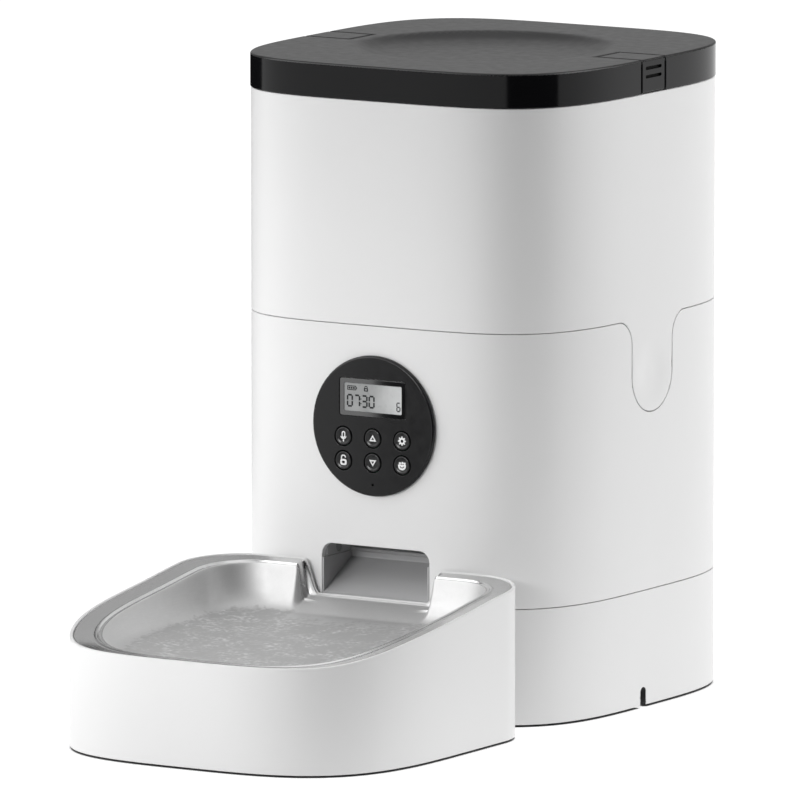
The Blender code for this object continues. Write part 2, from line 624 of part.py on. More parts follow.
def make_rotor():
    centre = (0, ROTOR_Y)
    floor_low, floor_high, rim = 102.3 * MM, 104.3 * MM, 136.7 * MM
    drum = cylinder((*centre, floor_low), 61 * MM, rim - floor_low, sides=56)
    cup = solid("rotor_housing", drum, "inner_white")
    cut(cup, "rotor_space", cylinder((*centre, floor_high), 58.4 * MM, 50 * MM, sides=56))
    cut(cup, "hub_hole", cylinder((*centre, 95 * MM), 9 * MM, 20 * MM, sides=24))
    cut(cup, "outlet", prism(rounded_box(54 * MM, 21 * MM, 4 * MM, (0, -54.5 * MM)), 95 * MM, 108 * MM))
    origin = (*centre, 120 * MM)
    hub = cylinder((*centre, 105 * MM), 11.5 * MM, 29 * MM, sides=30)
    wheel = solid("rotor_wheel", hub, "silicone", origin)
    for i in range(6):
        angle = math.radians(30 + 60 * i)
        blade = box((9 * MM, -1.2 * MM, 105.2 * MM), (ROTOR_RADIUS, 1.2 * MM, 133 * MM))
        bmesh.ops.rotate(blade, verts=blade.verts, cent=(0, 0, 0), matrix=Matrix.Rotation(angle, 3, "Z"))
        bmesh.ops.translate(blade, verts=blade.verts, vec=(*centre, 0))
        join(wheel, f"blade_{i}", blade)
    cut(wheel, "wheel_socket", prism(hexagon(12.6 * MM, centre), 100 * MM, 113 * MM))
    cut(wheel, "screw_way", cylinder((*centre, 110 * MM), 2.3 * MM, 40 * MM, sides=14))
    boss = cylinder((*centre, 134.4 * MM), 9 * MM, 9 * MM, sides=24)
    stirrer = solid("agitator", boss, "silicone", origin)
    for i, angle in enumerate((0, math.pi)):
        arm = box((4 * MM, -2.5 * MM, 138.6 * MM), (46 * MM, 2.5 * MM, 142.6 * MM))
        bmesh.ops.rotate(arm, verts=arm.verts, cent=(0, 0, 0), matrix=Matrix.Rotation(angle, 3, "Z"))
        bmesh.ops.translate(arm, verts=arm.verts, vec=(*centre, 0))
        join(stirrer, f"arm_{i}", arm)
    cut(stirrer, "stirrer_hole", cylinder((*centre, 130 * MM), 2.3 * MM, 20 * MM, sides=14))
    head = cylinder((*centre, 143.7 * MM), 4.5 * MM, 2.4 * MM, sides=20)
    screw = solid("rotor_screw", head, "steel", origin)
    join(screw, "rotor_shank", cylinder((*centre, 113.5 * MM), 2 * MM, 31 * MM, sides=14))


def make_baffle():
    """The plate over the outlet that keeps food from dropping straight through, held by its outer edge."""
    centre = (0, ROTOR_Y)
    plate = arc(centre, 58 * MM, 218, 322, 15) + arc(centre, 14 * MM, 322, 218, 9)
    solid("outlet_baffle", prism(plate, 134.9 * MM, 136.3 * MM), "inner_white")


# ---------------------------------------------------------------- lid


def make_lid():
    outer = body_outline(-LID_PROUD)
    edge = 1.2 * MM
    shell_top = HEIGHT - 2.6 * MM
    inner = body_outline(2.4 * MM)
    upper = [
        at(inner, LID_BOTTOM),
        at(outer, LID_BOTTOM),
        at(outer, HEIGHT - edge),
        at(body_outline(edge - LID_PROUD), HEIGHT),
        at(circle_outline(62 * MM), HEIGHT),
        at(circle_outline(53 * MM), HEIGHT - 3.2 * MM),
        at(circle_outline(43 * MM), HEIGHT - 4.4 * MM),
    ]
    lower = [
        at(circle_outline(55 * MM), shell_top - 4.4 * MM),
        at(circle_outline(64 * MM), shell_top),
        at(inner, shell_top),
    ]
    lid = solid("lid_cover", dished_shell(upper, lower), "black")
    reach = BODY_HALF_WIDTH + LID_PROUD - LATCH_REACH
    for side, name in ((1, "right"), (-1, "left")):
        near, far = sorted((side * (reach - LATCH_GROOVE), side * 110 * MM))
        half = LATCH_HALF_WIDTH + LATCH_GROOVE
        cut(lid, f"latch_gap_{name}", box((near, -half, 285 * MM), (far, half, 315 * MM)))
        for end in (1, -1):
            add_latch_lug(lid, side, end, f"{name}_{end + 1}")
        make_latch(side, name, reach)
    liner_low, liner_top = 284 * MM, 301 * MM
    hole = circle_outline(30.3 * MM)
    rings = [
        at(body_outline(6.6 * MM), liner_top),
        at(body_outline(6.6 * MM), liner_low),
        at(hole, liner_low),
        at(hole, liner_low + 2 * MM),
        at(body_outline(9 * MM), liner_low + 2 * MM),
        at(body_outline(9 * MM), liner_top),
    ]
    solid("lid_liner", loft(rings, joined=True), "inner_white")
    seal = tube(body_outline(2.8 * MM), body_outline(6.2 * MM), 286.8 * MM, 289.2 * MM)
    solid("lid_seal", seal, "silicone")
    cup = solid("desiccant_cover", cylinder((0, 0, 281.5 * MM), 33 * MM, 2.2 * MM, sides=40), "inner_white")
    join(cup, "desiccant_wall", cylinder((0, 0, 283 * MM), 30 * MM, 9 * MM, sides=40))
    cut(cup, "desiccant_space", cylinder((0, 0, 284 * MM), 28.2 * MM, 20 * MM, sides=36))


def dished_shell(upper, lower):
    """A shell: the upper skin runs in from its rim to a cap, and the lower skin from its own cap back out."""
    bm = bmesh.new()
    skins = [[[bm.verts.new(point) for point in ring] for ring in rings] for rings in (upper, lower)]
    bm.faces.new(skins[0][-1])
    bm.faces.new(skins[1][0])
    for chain in (skins[0], skins[1] + skins[0][:1]):
        bridge(bm, chain)
    return bm


def add_latch_lug(lid, side, end, name):
    """One of the two ears under the lid that carry a latch's pivot pin."""
    near, far = sorted((side * 82.6 * MM, side * 90.0 * MM))
    low_y, high_y = sorted((end * (LATCH_HALF_WIDTH + LATCH_GROOVE), end * (LATCH_HALF_WIDTH + 3.0 * MM)))
    join(lid, f"latch_lug_{name}", box((near, low_y, 301.3 * MM), (far, high_y, HEIGHT - 2 * MM)))
    pin_x, pin_z = LATCH_PIN
    hole = cylinder((side * pin_x, low_y - MM, pin_z), 1.5 * MM, high_y - low_y + 2 * MM, "Y", 14)
    cut(lid, f"latch_pin_hole_{name}", hole)


def make_latch(side, name, reach):
    """An L of a top plate and a side plate that rocks on a pin just inside the corner."""
    shell = [
        at(body_outline(-LID_PROUD), 294.1 * MM),
        at(body_outline(-LID_PROUD), HEIGHT - 1.2 * MM),
        at(body_outline(1.2 * MM - LID_PROUD), HEIGHT),
    ]
    pin_x, pin_z = LATCH_PIN
    latch = solid(f"lid_latch_{name}", loft(shell), "black", (side * pin_x, 0, pin_z))
    near, far = sorted((side * reach, side * 110 * MM))
    block = box((near, -LATCH_HALF_WIDTH, 290 * MM), (far, LATCH_HALF_WIDTH, 315 * MM))
    keep(latch, f"latch_block_{name}", block)
    near, far = sorted((side * 40 * MM, side * 91.2 * MM))
    hollow = box((near, -30 * MM, 280 * MM), (far, 30 * MM, HEIGHT - 2.2 * MM))
    cut(latch, f"latch_hollow_{name}", hollow)
    near, far = sorted((side * 84.4 * MM, side * 87.6 * MM))
    web = box((near, -LATCH_HALF_WIDTH, pin_z), (far, LATCH_HALF_WIDTH, HEIGHT - MM))
    join(latch, f"latch_web_{name}", web)
    reach_y = LATCH_HALF_WIDTH + 2.6 * MM
    pin = cylinder((side * pin_x, -reach_y, pin_z), 1.1 * MM, 2 * reach_y, "Y", 14)
    join(latch, f"latch_pin_{name}", pin)


# ---------------------------------------------------------------- tray and bowl


def ease(value, start, end):
    """0 before start, 1 after end, and a smooth S between."""
    u = min(1.0, max(0.0, (value - start) / (end - start)))
    return u * u * (3 - 2 * u)


def rim_height(y):
    """Height of the tray's top edge: level at the front, then rising to the back in a shallow S."""
    heights = ((-269.4, 50.8), (-252, 52.0), (-212, 59.4), (-161, 66.6), (-129, 71.2), (-100, 73.6))
    y_mm = min(max(y / MM, heights[0][0]), heights[-1][0])
    for i in range(len(heights) - 1):
        (y0, z0), (y1, z1) = heights[i], heights[i + 1]
        if y_mm <= y1:
            break
    slope0 = heights_slope(heights, i)
    slope1 = heights_slope(heights, i + 1)
    span = y1 - y0
    u = (y_mm - y0) / span
    value = (2 * u**3 - 3 * u**2 + 1) * z0 + (u**3 - 2 * u**2 + u) * span * slope0
    value += (-2 * u**3 + 3 * u**2) * z1 + (u**3 - u**2) * span * slope1
    return value * MM


def heights_slope(heights, i):
    low, high = max(i - 1, 0), min(i + 1, len(heights) - 1)
    if i == 0:
        return 0.0
    return (heights[high][1] - heights[low][1]) / (heights[high][0] - heights[low][0])


def spout_share(x, y, flare):
    """How much of the rim is let down for the spout, from 0 beside it to 1 across it."""
    return (1 - ease(abs(x), *flare)) * ease(y, -140 * MM, -112 * MM)


def rim_z(x, y):
    height = rim_height(y)
    return height + (SPOUT_LIP - height) * spout_share(x, y, SPOUT_FLARE)


def tray_outline(side_inset, front_inset=None, back_inset=None):
    """The tray's plan: a squarish ellipse in front, straight sides, round back corners, a straight back."""
    front_inset = side_inset if front_inset is None else front_inset
    back_inset = side_inset if back_inset is None else back_inset
    half = TRAY_HALF_WIDTH - side_inset
    depth = TRAY_HALF_DEPTH - front_inset
    back = TRAY_BACK_Y - back_inset
    radius = TRAY_BACK_RADIUS - side_inset * 0.35
    points = []
    for i in range(21):
        angle = math.pi * (1 + i / 20)
        c, s = math.cos(angle), math.sin(angle)
        x = half * math.copysign(abs(c) ** (2 / TRAY_POWER), c)
        y = TRAY_CENTRE_Y + depth * math.copysign(abs(s) ** (2 / TRAY_POWER), s)
        points.append((x, y))
    points += arc((half - radius, back - radius), radius, 0, 90, 7)
    shrink = min(1.0, (half - radius - 1.5 * MM) / (SPOUT_STEPS[0] * MM))
    right = [(x * MM * shrink, back) for x in SPOUT_STEPS]
    points += right + [(-x, y) for x, y in reversed(right[:-1])]
    points += arc((-half + radius, back - radius), radius, 90, 180, 7)
    return points


def rim_ring(outline, drop):
    return [(x, y, rim_z(x, y) - drop) for x, y in outline]


def make_tray():
    lip_inside = tray_outline(1.5 * MM, 1.5 * MM, 1.0 * MM)
    ledge = tray_outline(TRAY_LEDGE, TRAY_LEDGE, 1.8 * MM)
    well = tray_outline(TRAY_WALL, TRAY_WALL, 1.6 * MM)
    rings = [
        at(tray_outline(0), SKIRT_BOTTOM),
        rim_ring(tray_outline(0), 0),
        rim_ring(lip_inside, 0),
        rim_ring(lip_inside, 2.3 * MM),
        rim_ring(ledge, 2.8 * MM),
        rim_ring(ledge, 4.8 * MM),
        rim_ring(well, 9 * MM),
        at(well, 4.2 * MM),
    ]
    tray = solid("bowl_tray", loft(rings), "white")
    cut(tray, "tray_well_floor", prism(tray_outline(12 * MM, 12 * MM, 10 * MM), -5 * MM, 8 * MM))
    floor = prism(tray_outline(12.4 * MM, 12.4 * MM, 10.4 * MM), 0.9 * MM, 3.2 * MM)
    pan = solid("tray_base", floor, "inner_white")
    for i, (x, y) in enumerate(((60, -235), (-60, -235), (60, -125), (-60, -125))):
        join(pan, f"tray_foot_{i}", cylinder((x * MM, y * MM, 0), 6 * MM, 2 * MM, sides=20))


def bowl_floor(y):
    """Height of the bowl's floor where it meets the wall: it climbs towards the spout."""
    return BOWL_FLOOR_FRONT + BOWL_FLOOR_RISE * ease(y, -250 * MM, -96 * MM)


def bowl_point(x, y, inward):
    """The bowl's upper face at one place, so far inward from the edge of its opening."""
    floor = bowl_floor(y)
    rim = rim_height(y) - RIM_DIP
    wall = floor + (rim - floor) * max(0.0, 1 - inward / BOWL_WALL) ** 3
    ramp = max(floor, SPOUT_LIP - 0.5 * MM + SPOUT_SLOPE * (y - TRAY_BACK_Y))
    turn_in = ease(y, TRAY_BACK_Y - RIM_WIDTH_BACK, TRAY_BACK_Y - 1.3 * MM)
    flare = [notch + (rim_x - notch) * turn_in for notch, rim_x in zip(BOWL_NOTCH, SPOUT_FLARE)]
    return (x, y, wall + (ramp - wall) * spout_share(x, y, flare))


def bowl_rings():
    """Rings of the bowl's upper face, from the rim's outside edge to the floor."""
    outer = tray_outline(1.9 * MM, 1.9 * MM, 1.3 * MM)
    rings = [rim_ring(outer, 0.5 * MM)]
    for inward in (0.0, 0.9, 2.2, 4.4, 8.0, 12.0):
        side = RIM_WIDTH + inward * MM
        back = RIM_WIDTH_BACK + inward * MM
        rings.append([bowl_point(x, y, inward * MM) for x, y in tray_outline(side, side, back)])
    middle = tray_outline(RIM_WIDTH + 34 * MM, RIM_WIDTH + 34 * MM, 52 * MM)
    rings.append([(x, y, bowl_floor(y) - 2.6 * MM) for x, y in middle])
    return rings


def make_bowl():
    upper_rings = bowl_rings()
    lower_rings = [[(x, y, z - BOWL_SHEET) for x, y, z in ring] for ring in upper_rings]
    bm = bmesh.new()
    upper, lower = [
        [[bm.verts.new(point) for point in ring] for ring in rings] for rings in (upper_rings, lower_rings)
    ]
    bm.faces.new(upper[-1])
    bm.faces.new(lower[-1])
    for chain in (upper, lower, [upper[0], lower[0]]):
        bridge(bm, chain)
    solid("bowl", bm, "steel")


# ---------------------------------------------------------------- the object

clear_scene()
PARTS = new_collection("pet_feeder")
CUTTERS = new_collection("cutters")
AXIS = bpy.data.objects.new("body_axis", None)
AXIS.location = (0, BODY_Y, 0)
PARTS.objects.link(AXIS)

make_base_shell()
make_lower_shell()
make_bottom_plate()
make_batteries()
make_electronics()
make_chute()
make_panel()
make_deck()
make_drive()
make_tank()
make_rotor()
make_baffle()
make_lid()
make_tray()
make_bowl()
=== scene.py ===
"""Looks of the automatic pet feeder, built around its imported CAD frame. Shapes are in millimetres from the
middle of the body at floor level, with the front towards -Y, until world() places them in the frame."""

import json
import math

import bpy
import numpy as np
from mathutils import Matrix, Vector, geometry

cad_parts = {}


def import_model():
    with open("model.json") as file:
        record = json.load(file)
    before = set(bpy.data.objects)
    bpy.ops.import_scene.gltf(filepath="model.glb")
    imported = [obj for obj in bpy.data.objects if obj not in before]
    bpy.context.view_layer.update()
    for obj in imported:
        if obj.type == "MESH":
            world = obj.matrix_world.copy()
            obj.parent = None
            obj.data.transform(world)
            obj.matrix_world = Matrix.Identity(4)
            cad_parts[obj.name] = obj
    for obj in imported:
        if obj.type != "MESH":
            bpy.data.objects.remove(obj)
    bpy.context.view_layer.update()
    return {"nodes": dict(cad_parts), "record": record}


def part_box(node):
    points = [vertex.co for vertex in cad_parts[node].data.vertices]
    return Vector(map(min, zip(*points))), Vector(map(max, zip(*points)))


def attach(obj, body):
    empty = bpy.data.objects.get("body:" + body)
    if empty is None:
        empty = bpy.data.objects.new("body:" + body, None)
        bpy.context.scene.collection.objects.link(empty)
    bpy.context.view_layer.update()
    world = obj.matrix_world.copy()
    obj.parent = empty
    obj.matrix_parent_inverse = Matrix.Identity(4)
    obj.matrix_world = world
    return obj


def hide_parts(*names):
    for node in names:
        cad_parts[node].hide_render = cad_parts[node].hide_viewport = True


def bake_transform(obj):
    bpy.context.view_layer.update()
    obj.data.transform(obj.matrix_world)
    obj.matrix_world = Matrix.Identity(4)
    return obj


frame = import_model()
scene = bpy.context.scene


# ---------------------------------------------------------------- sizes read from the frame


def corners(node):
    low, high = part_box(node)
    return np.array(list(low)) * 1000, np.array(list(high)) * 1000


SHELL_LOW, SHELL_HIGH = corners("base_shell")
AXIS_Y = (SHELL_LOW[1] + SHELL_HIGH[1]) / 2
HALF_WIDTH = (SHELL_HIGH[0] - SHELL_LOW[0]) / 2
HALF_DEPTH = (SHELL_HIGH[1] - SHELL_LOW[1]) / 2
LOWER_LOW, LOWER_HIGH = corners("lower_shell")
LID_LOW, LID_HIGH = corners("lid_cover")
TANK_TOP = corners("tank_shell")[1][2]
LID_PROUD = (LID_HIGH[0] - LID_LOW[0]) / 2 - HALF_WIDTH
TRAY_LOW, TRAY_HIGH = corners("bowl_tray")
TRAY_FRONT = TRAY_LOW[1] - AXIS_Y
TRAY_BACK = TRAY_HIGH[1] - AXIS_Y
TRAY_HALF = (TRAY_HIGH[0] - TRAY_LOW[0]) / 2
BEZEL_LOW, BEZEL_HIGH = corners("panel_bezel")
PANEL_Z = (BEZEL_LOW[2] + BEZEL_HIGH[2]) / 2
PANEL_RADIUS = (BEZEL_HIGH[2] - BEZEL_LOW[2]) / 2
PANEL_FACE = BEZEL_LOW[1] - AXIS_Y
LATCH_LOW, LATCH_HIGH = corners("lid_latch_right")

# Shape numbers that no box can give
MM = 0.001
POWER_X, POWER_Y = 4.12, 3.64  # of the body's plan, a superellipse
SHELL_WALL, TANK_WALL = 3.0, 2.4
SEAM_ROUND, SEAM_GAP = 0.4, 0.3
MOUTH_HALF, MOUTH_TOP, MOUTH_CORNER = 29.7, 81.5, 5.5
TONGUE_HALF, TONGUE_CENTRE_Z, TONGUE_FILLET, TONGUE_GAP = 18.5, 160.0, 12.4, 0.4
TONGUE_HINGE_Z, TONGUE_BEND = 184.8, 14.0
NOTCH_OFFSET, NOTCH_HALF, NOTCH_TOP = -7.7, 2.5, 7.2  # the cable notch, from the middle of the right side
LATCH_HALF, LATCH_REACH, LATCH_GROOVE = 10.6, 25.0, 0.8
LATCH_SLOTS = (305.6, 301.6)
PANEL_HOLE, ROTOR_Y = 31.6, -8.0
BUTTON_RADIUS = 4.4
# A button's face from its middle out: how far in from its radius, and how deep
BUTTON_FACE = (
    (4.38, 0.3), (1.6, 0.28), (1.25, 0.2), (0.85, 0.02), (0.6, 0), (0.3, 0.06), (0.08, 0.22), (0, 0.5)
)
DISPLAY_UP = 13.2  # the display's middle above the panel's
TRAY_CENTRE_Y, TRAY_POWER, TRAY_CORNER = -164.0, 3.387, 29.0
# Heights of the tray's edge at places along Y
RIM_HEIGHTS = ((-269.4, 50.8), (-252, 52.0), (-212, 59.4), (-161, 66.6), (-129, 71.2), (-100, 73.6))
RIM_WIDTH, RIM_WIDTH_BACK, RIM_DIP = 13.8, 7.6, 2.6
SPOUT_LIP, SPOUT_SLOPE = 57.6, 0.4
# Distances from the middle at which the low spout starts to rise and has risen: in the tray, and in the bowl
SPOUT_FLARE, BOWL_NOTCH = (29.8, 38.2), (34.6, 38.4)
BOWL_WALL, BOWL_FLOOR_FRONT, BOWL_FLOOR_RISE, FLOOR_DISH = 12.0, 44.8, 5.4, 2.6


def world(points):
    """Millimetres about the body's axis, as an array of rows, to metres in the frame."""
    return (np.asarray(points, float) + (0, AXIS_Y, 0)) * MM


def smooth_step(value, start, end):
    """0 up to start, 1 from end on, with a smooth climb between."""
    u = np.clip((np.asarray(value, float) - start) / (end - start), 0, 1)
    return u * u * (3 - 2 * u)


# ---------------------------------------------------------------- meshes


def add_mesh(name, points, faces, body, look, sharp=None):
    """A smooth mesh object with its slot and material. It rides on its body, if it has one."""
    mesh = bpy.data.meshes.new(name)
    mesh.from_pydata(world(points).tolist(), [], [tuple(int(i) for i in face) for face in faces])
    mesh.validate()
    mesh.update()
    obj = bpy.data.objects.new(name, mesh)
    scene.collection.objects.link(obj)
    mesh.shade_smooth()
    if sharp:
        mesh.set_sharp_from_angle(angle=math.radians(sharp))
    mesh.materials.append(look)
    if body:
        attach(obj, body)
    return obj


def lathe(profile, centre, axis, sides):
    """Points and faces of a profile of (radius, distance along) turned about an axis through the centre."""
    angles = np.linspace(0, 2 * math.pi, sides, endpoint=False)
    rings = []
    for radius, along in profile:
        u, v = radius * np.cos(angles), radius * np.sin(angles)
        w = np.full(sides, along)
        rings.append({"X": (w, u, v), "Y": (u, w, -v), "Z": (u, v, w)}[axis])
    points = np.concatenate([np.stack(ring, 1) for ring in rings]) + np.asarray(centre, float)
    return points, ring_faces(len(profile), sides)


def ring_faces(rings, count, closed=False):
    """Quads between so many rings of count points each. Closed joins the last ring to the first."""
    faces = []
    for r in range(rings if closed else rings - 1):
        a, b = r * count, ((r + 1) % rings) * count
        for i in range(count):
            j = (i + 1) % count
            faces.append((a + i, a + j, b + j, b + i))
    return faces


def joined(parts):
    """Several (points, faces) as one."""
    points, faces, start = [], [], 0
    for some_points, some_faces in parts:
        points.append(np.asarray(some_points, float))
        faces += [tuple(i + start for i in face) for face in some_faces]
        start += len(some_points)
    return np.concatenate(points), faces


def bevel(obj, width):
    modifier = obj.modifiers.new("edges", "BEVEL")
    modifier.width = width * MM
    modifier.segments = 2
    modifier.limit_method = "ANGLE"
    modifier.angle_limit = math.radians(35)
    modifier.use_clamp_overlap = True
    modifier.harden_normals = True


# ---------------------------------------------------------------- the body's outline and skins over it


def superellipse(count, inset=0.0):
    """Points at equal angles on the body's plan, counter-clockwise from the middle of the front."""
    angles = np.linspace(-math.pi / 2, 1.5 * math.pi, count, endpoint=False)
    a, b = HALF_WIDTH - inset, HALF_DEPTH - inset
    c, s = np.abs(np.cos(angles)) / a, np.abs(np.sin(angles)) / b
    low, high = np.zeros(count), np.full(count, a + b)
    for _ in range(50):
        middle = (low + high) / 2
        inside = (middle * c) ** POWER_X + (middle * s) ** POWER_Y < 1
        low, high = np.where(inside, middle, low), np.where(inside, high, middle)
    return np.stack([low * np.cos(angles), low * np.sin(angles)], 1)


class BodyWall:
    """The body's wall, unrolled: u runs along the outline from the middle of the front, and z is height."""

    def __init__(self, inset=0.0):
        points = superellipse(6000, inset)
        steps = np.hypot(*(np.roll(points, -1, 0) - points).T)
        self.length = steps.sum()
        self.u = np.concatenate([[0], np.cumsum(steps)])
        self.xy = np.concatenate([points, points[:1]])
        along = np.roll(points, -3, 0) - np.roll(points, 3, 0)
        along /= np.hypot(*along.T)[:, None]
        self.along = np.concatenate([along, along[:1]])

    def pick(self, table, u):
        u = np.mod(u, self.length)
        return np.stack([np.interp(u, self.u, table[:, k]) for k in range(table.shape[1])], 1)

    def place(self, uz, depth):
        """Points so far in from the wall's face."""
        xy = self.pick(self.xy, uz[:, 0]) - self.normal(uz)[:, :2] * np.asarray(depth)[:, None]
        return np.column_stack([xy, uz[:, 1]])

    def tangents(self, uz):
        along = self.pick(self.along, uz[:, 0])
        flat = np.column_stack([along, np.zeros(len(uz))])
        return flat, np.tile((0.0, 0.0, 1.0), (len(uz), 1))

    def normal(self, uz):
        along = self.pick(self.along, uz[:, 0])
        along /= np.hypot(*along.T)[:, None]
        return np.column_stack([along[:, 1], -along[:, 0], np.zeros(len(uz))])


class Plane:
    """A flat face. Its coordinates run along two of the world's axes, and depth runs in along the third."""

    def __init__(self, at, along_u, along_v, out):
        self.axes = np.array((along_u, along_v, out), float)
        self.at = at

    def place(self, uv, depth):
        """Points so far in from the face."""
        away = self.at - np.asarray(depth)
        return uv @ self.axes[:2] + away[:, None] * self.axes[2]

    def tangents(self, uv):
        return np.tile(self.axes[0], (len(uv), 1)), np.tile(self.axes[1], (len(uv), 1))

    def normal(self, uv):
        return np.tile(self.axes[2], (len(uv), 1))


def top_plane(z):
    return Plane(z, (1, 0, 0), (0, 1, 0), (0, 0, 1))


def front_plane(y):
    return Plane(-y, (1, 0, 0), (0, 0, 1), (0, -1, 0))


def resample(loop, step):
    """The same closed loop with its long edges split."""
    loop = np.asarray(loop, float)
    found = []
    for a, b in zip(loop, np.roll(loop, -1, 0)):
        pieces = max(1, math.ceil(np.hypot(*(b - a)) / step))
        found += [a + (b - a) * i / pieces for i in range(pieces)]
    return np.array(found)


def area_of(loop):
    x, y = loop.T
    return 0.5 * np.sum(x * np.roll(y, -1) - np.roll(x, -1) * y)


def inside(points, loops):
    """Even-odd test of points against closed loops."""
    odd = np.zeros(len(points), bool)
    for loop in loops:
        for a, b in zip(loop, np.roll(loop, -1, 0)):
            crosses = (a[1] > points[:, 1]) != (b[1] > points[:, 1])
            if a[1] != b[1]:
                x = a[0] + (points[:, 1] - a[1]) * (b[0] - a[0]) / (b[1] - a[1])
                odd ^= crosses & (points[:, 0] < x)
    return odd


def nearest(points, starts, ends):
    """Distance from each point to the nearest segment, and the unit direction away from it."""
    run = ends - starts
    size = np.maximum((run * run).sum(1), 1e-12)
    distance, away = np.empty(len(points)), np.empty((len(points), 2))
    for first in range(0, len(points), 3000):
        p = points[first : first + 3000, None]
        t = np.clip(((p - starts) * run).sum(2) / size, 0, 1)
        gap = p - (starts + t[..., None] * run)
        far = np.hypot(gap[..., 0], gap[..., 1])
        best = far.argmin(1)
        rows = np.arange(len(best))
        distance[first : first + 3000] = far[rows, best]
        away[first : first + 3000] = gap[rows, best]
    return distance, away / np.maximum(distance, 1e-9)[:, None]


def left_normals(loop):
    run = np.roll(loop, -1, 0) - loop
    run /= np.maximum(np.hypot(*run.T), 1e-9)[:, None]
    left = np.column_stack([-run[:, 1], run[:, 0]])
    both = left + np.roll(left, 1, 0)
    return both / np.maximum(np.hypot(*both.T), 1e-6)[:, None]


class Edge:
    """One closed edge of a skin: its points, the radius of its rounding at each (0 where the skin runs on
    into another piece), and whether a side wall goes down from it."""

    def __init__(self, points, rounding, walled=True):
        self.points = np.asarray(points, float)
        count = len(self.points)
        self.rounding = np.broadcast_to(np.asarray(rounding, float), count).copy()
        self.walled = np.broadcast_to(np.asarray(walled, bool), count).copy()

    def turned(self):
        return Edge(self.points[::-1], self.rounding[::-1], self.walled[::-1])

    def segments(self):
        """Starts, ends, and the rounding of each segment: the lesser of its two ends."""
        after = np.roll(self.rounding, -1)
        return self.points, np.roll(self.points, -1, 0), np.minimum(self.rounding, after)


EDGE_ROWS = (0.03, 0.12, 0.3, 0.6, 1.0, 1.6)  # how many roundings in from an edge


def seed_points(edges, spacing):
    """Points inside the edges: rows close to each rounded edge, and a grid over the rest."""
    loops = [edge.points for edge in edges]
    boundary = np.concatenate(loops)
    seeds = []
    for edge in edges:
        inward = left_normals(edge.points)
        rounded = edge.rounding > 0
        for share in EDGE_ROWS:
            seeds.append((edge.points + inward * edge.rounding[:, None] * share)[rounded])
    low, high = boundary.min(0), boundary.max(0)
    steps = [max(2, int(math.ceil(size / spacing)) + 1) for size in high - low]
    grid = np.stack(np.meshgrid(*[np.linspace(a, b, n) for a, b, n in zip(low, high, steps)]), -1)
    seeds.append(grid.reshape(-1, 2))
    seeds = np.concatenate(seeds)
    seeds = seeds[inside(seeds, loops)]
    starts, ends = boundary, np.concatenate([np.roll(loop, -1, 0) for loop in loops])
    near, _ = nearest(seeds, starts, ends)
    return seeds[near > 0.015]


def triangulate(edges, seeds):
    """Places and counter-clockwise faces that fill the edges and use every seed."""
    loops = [edge.points for edge in edges]
    links, start = [], 0
    for loop in loops:
        links += [(start + i, start + (i + 1) % len(loop)) for i in range(len(loop))]
        start += len(loop)
    flat = np.concatenate(loops + [seeds])
    made = geometry.delaunay_2d_cdt([Vector(p) for p in flat], links, [], 1, 1e-5)
    places = np.array([tuple(p) for p in made[0]])
    faces = np.array([tuple(face) for face in made[2]])
    faces = faces[inside(places[faces].mean(1), loops)]
    corner = places[faces]
    first, second = corner[:, 1] - corner[:, 0], corner[:, 2] - corner[:, 0]
    wrong = first[:, 0] * second[:, 1] - first[:, 1] * second[:, 0] < 0
    faces[wrong] = faces[wrong][:, ::-1]
    return places, faces


def rounded_edges(edges, places):
    """How deep each place lies in the rounding of an edge, and how far and which way it leans out."""
    depth, lean, outward = np.zeros(len(places)), np.zeros(len(places)), np.zeros((len(places), 2))
    for edge in edges:
        starts, ends, rounding = edge.segments()
        for radius in np.unique(rounding[rounding > 0]):
            pick = rounding == radius
            distance, away = nearest(places, starts[pick], ends[pick])
            share = np.clip(1 - distance / radius, 0, 1)
            deeper = radius * (1 - np.sqrt(1 - share**2))
            take = deeper > depth
            depth[take], lean[take], outward[take] = deeper[take], share[take], -away[take]
    return depth, np.minimum(lean, 0.995), outward


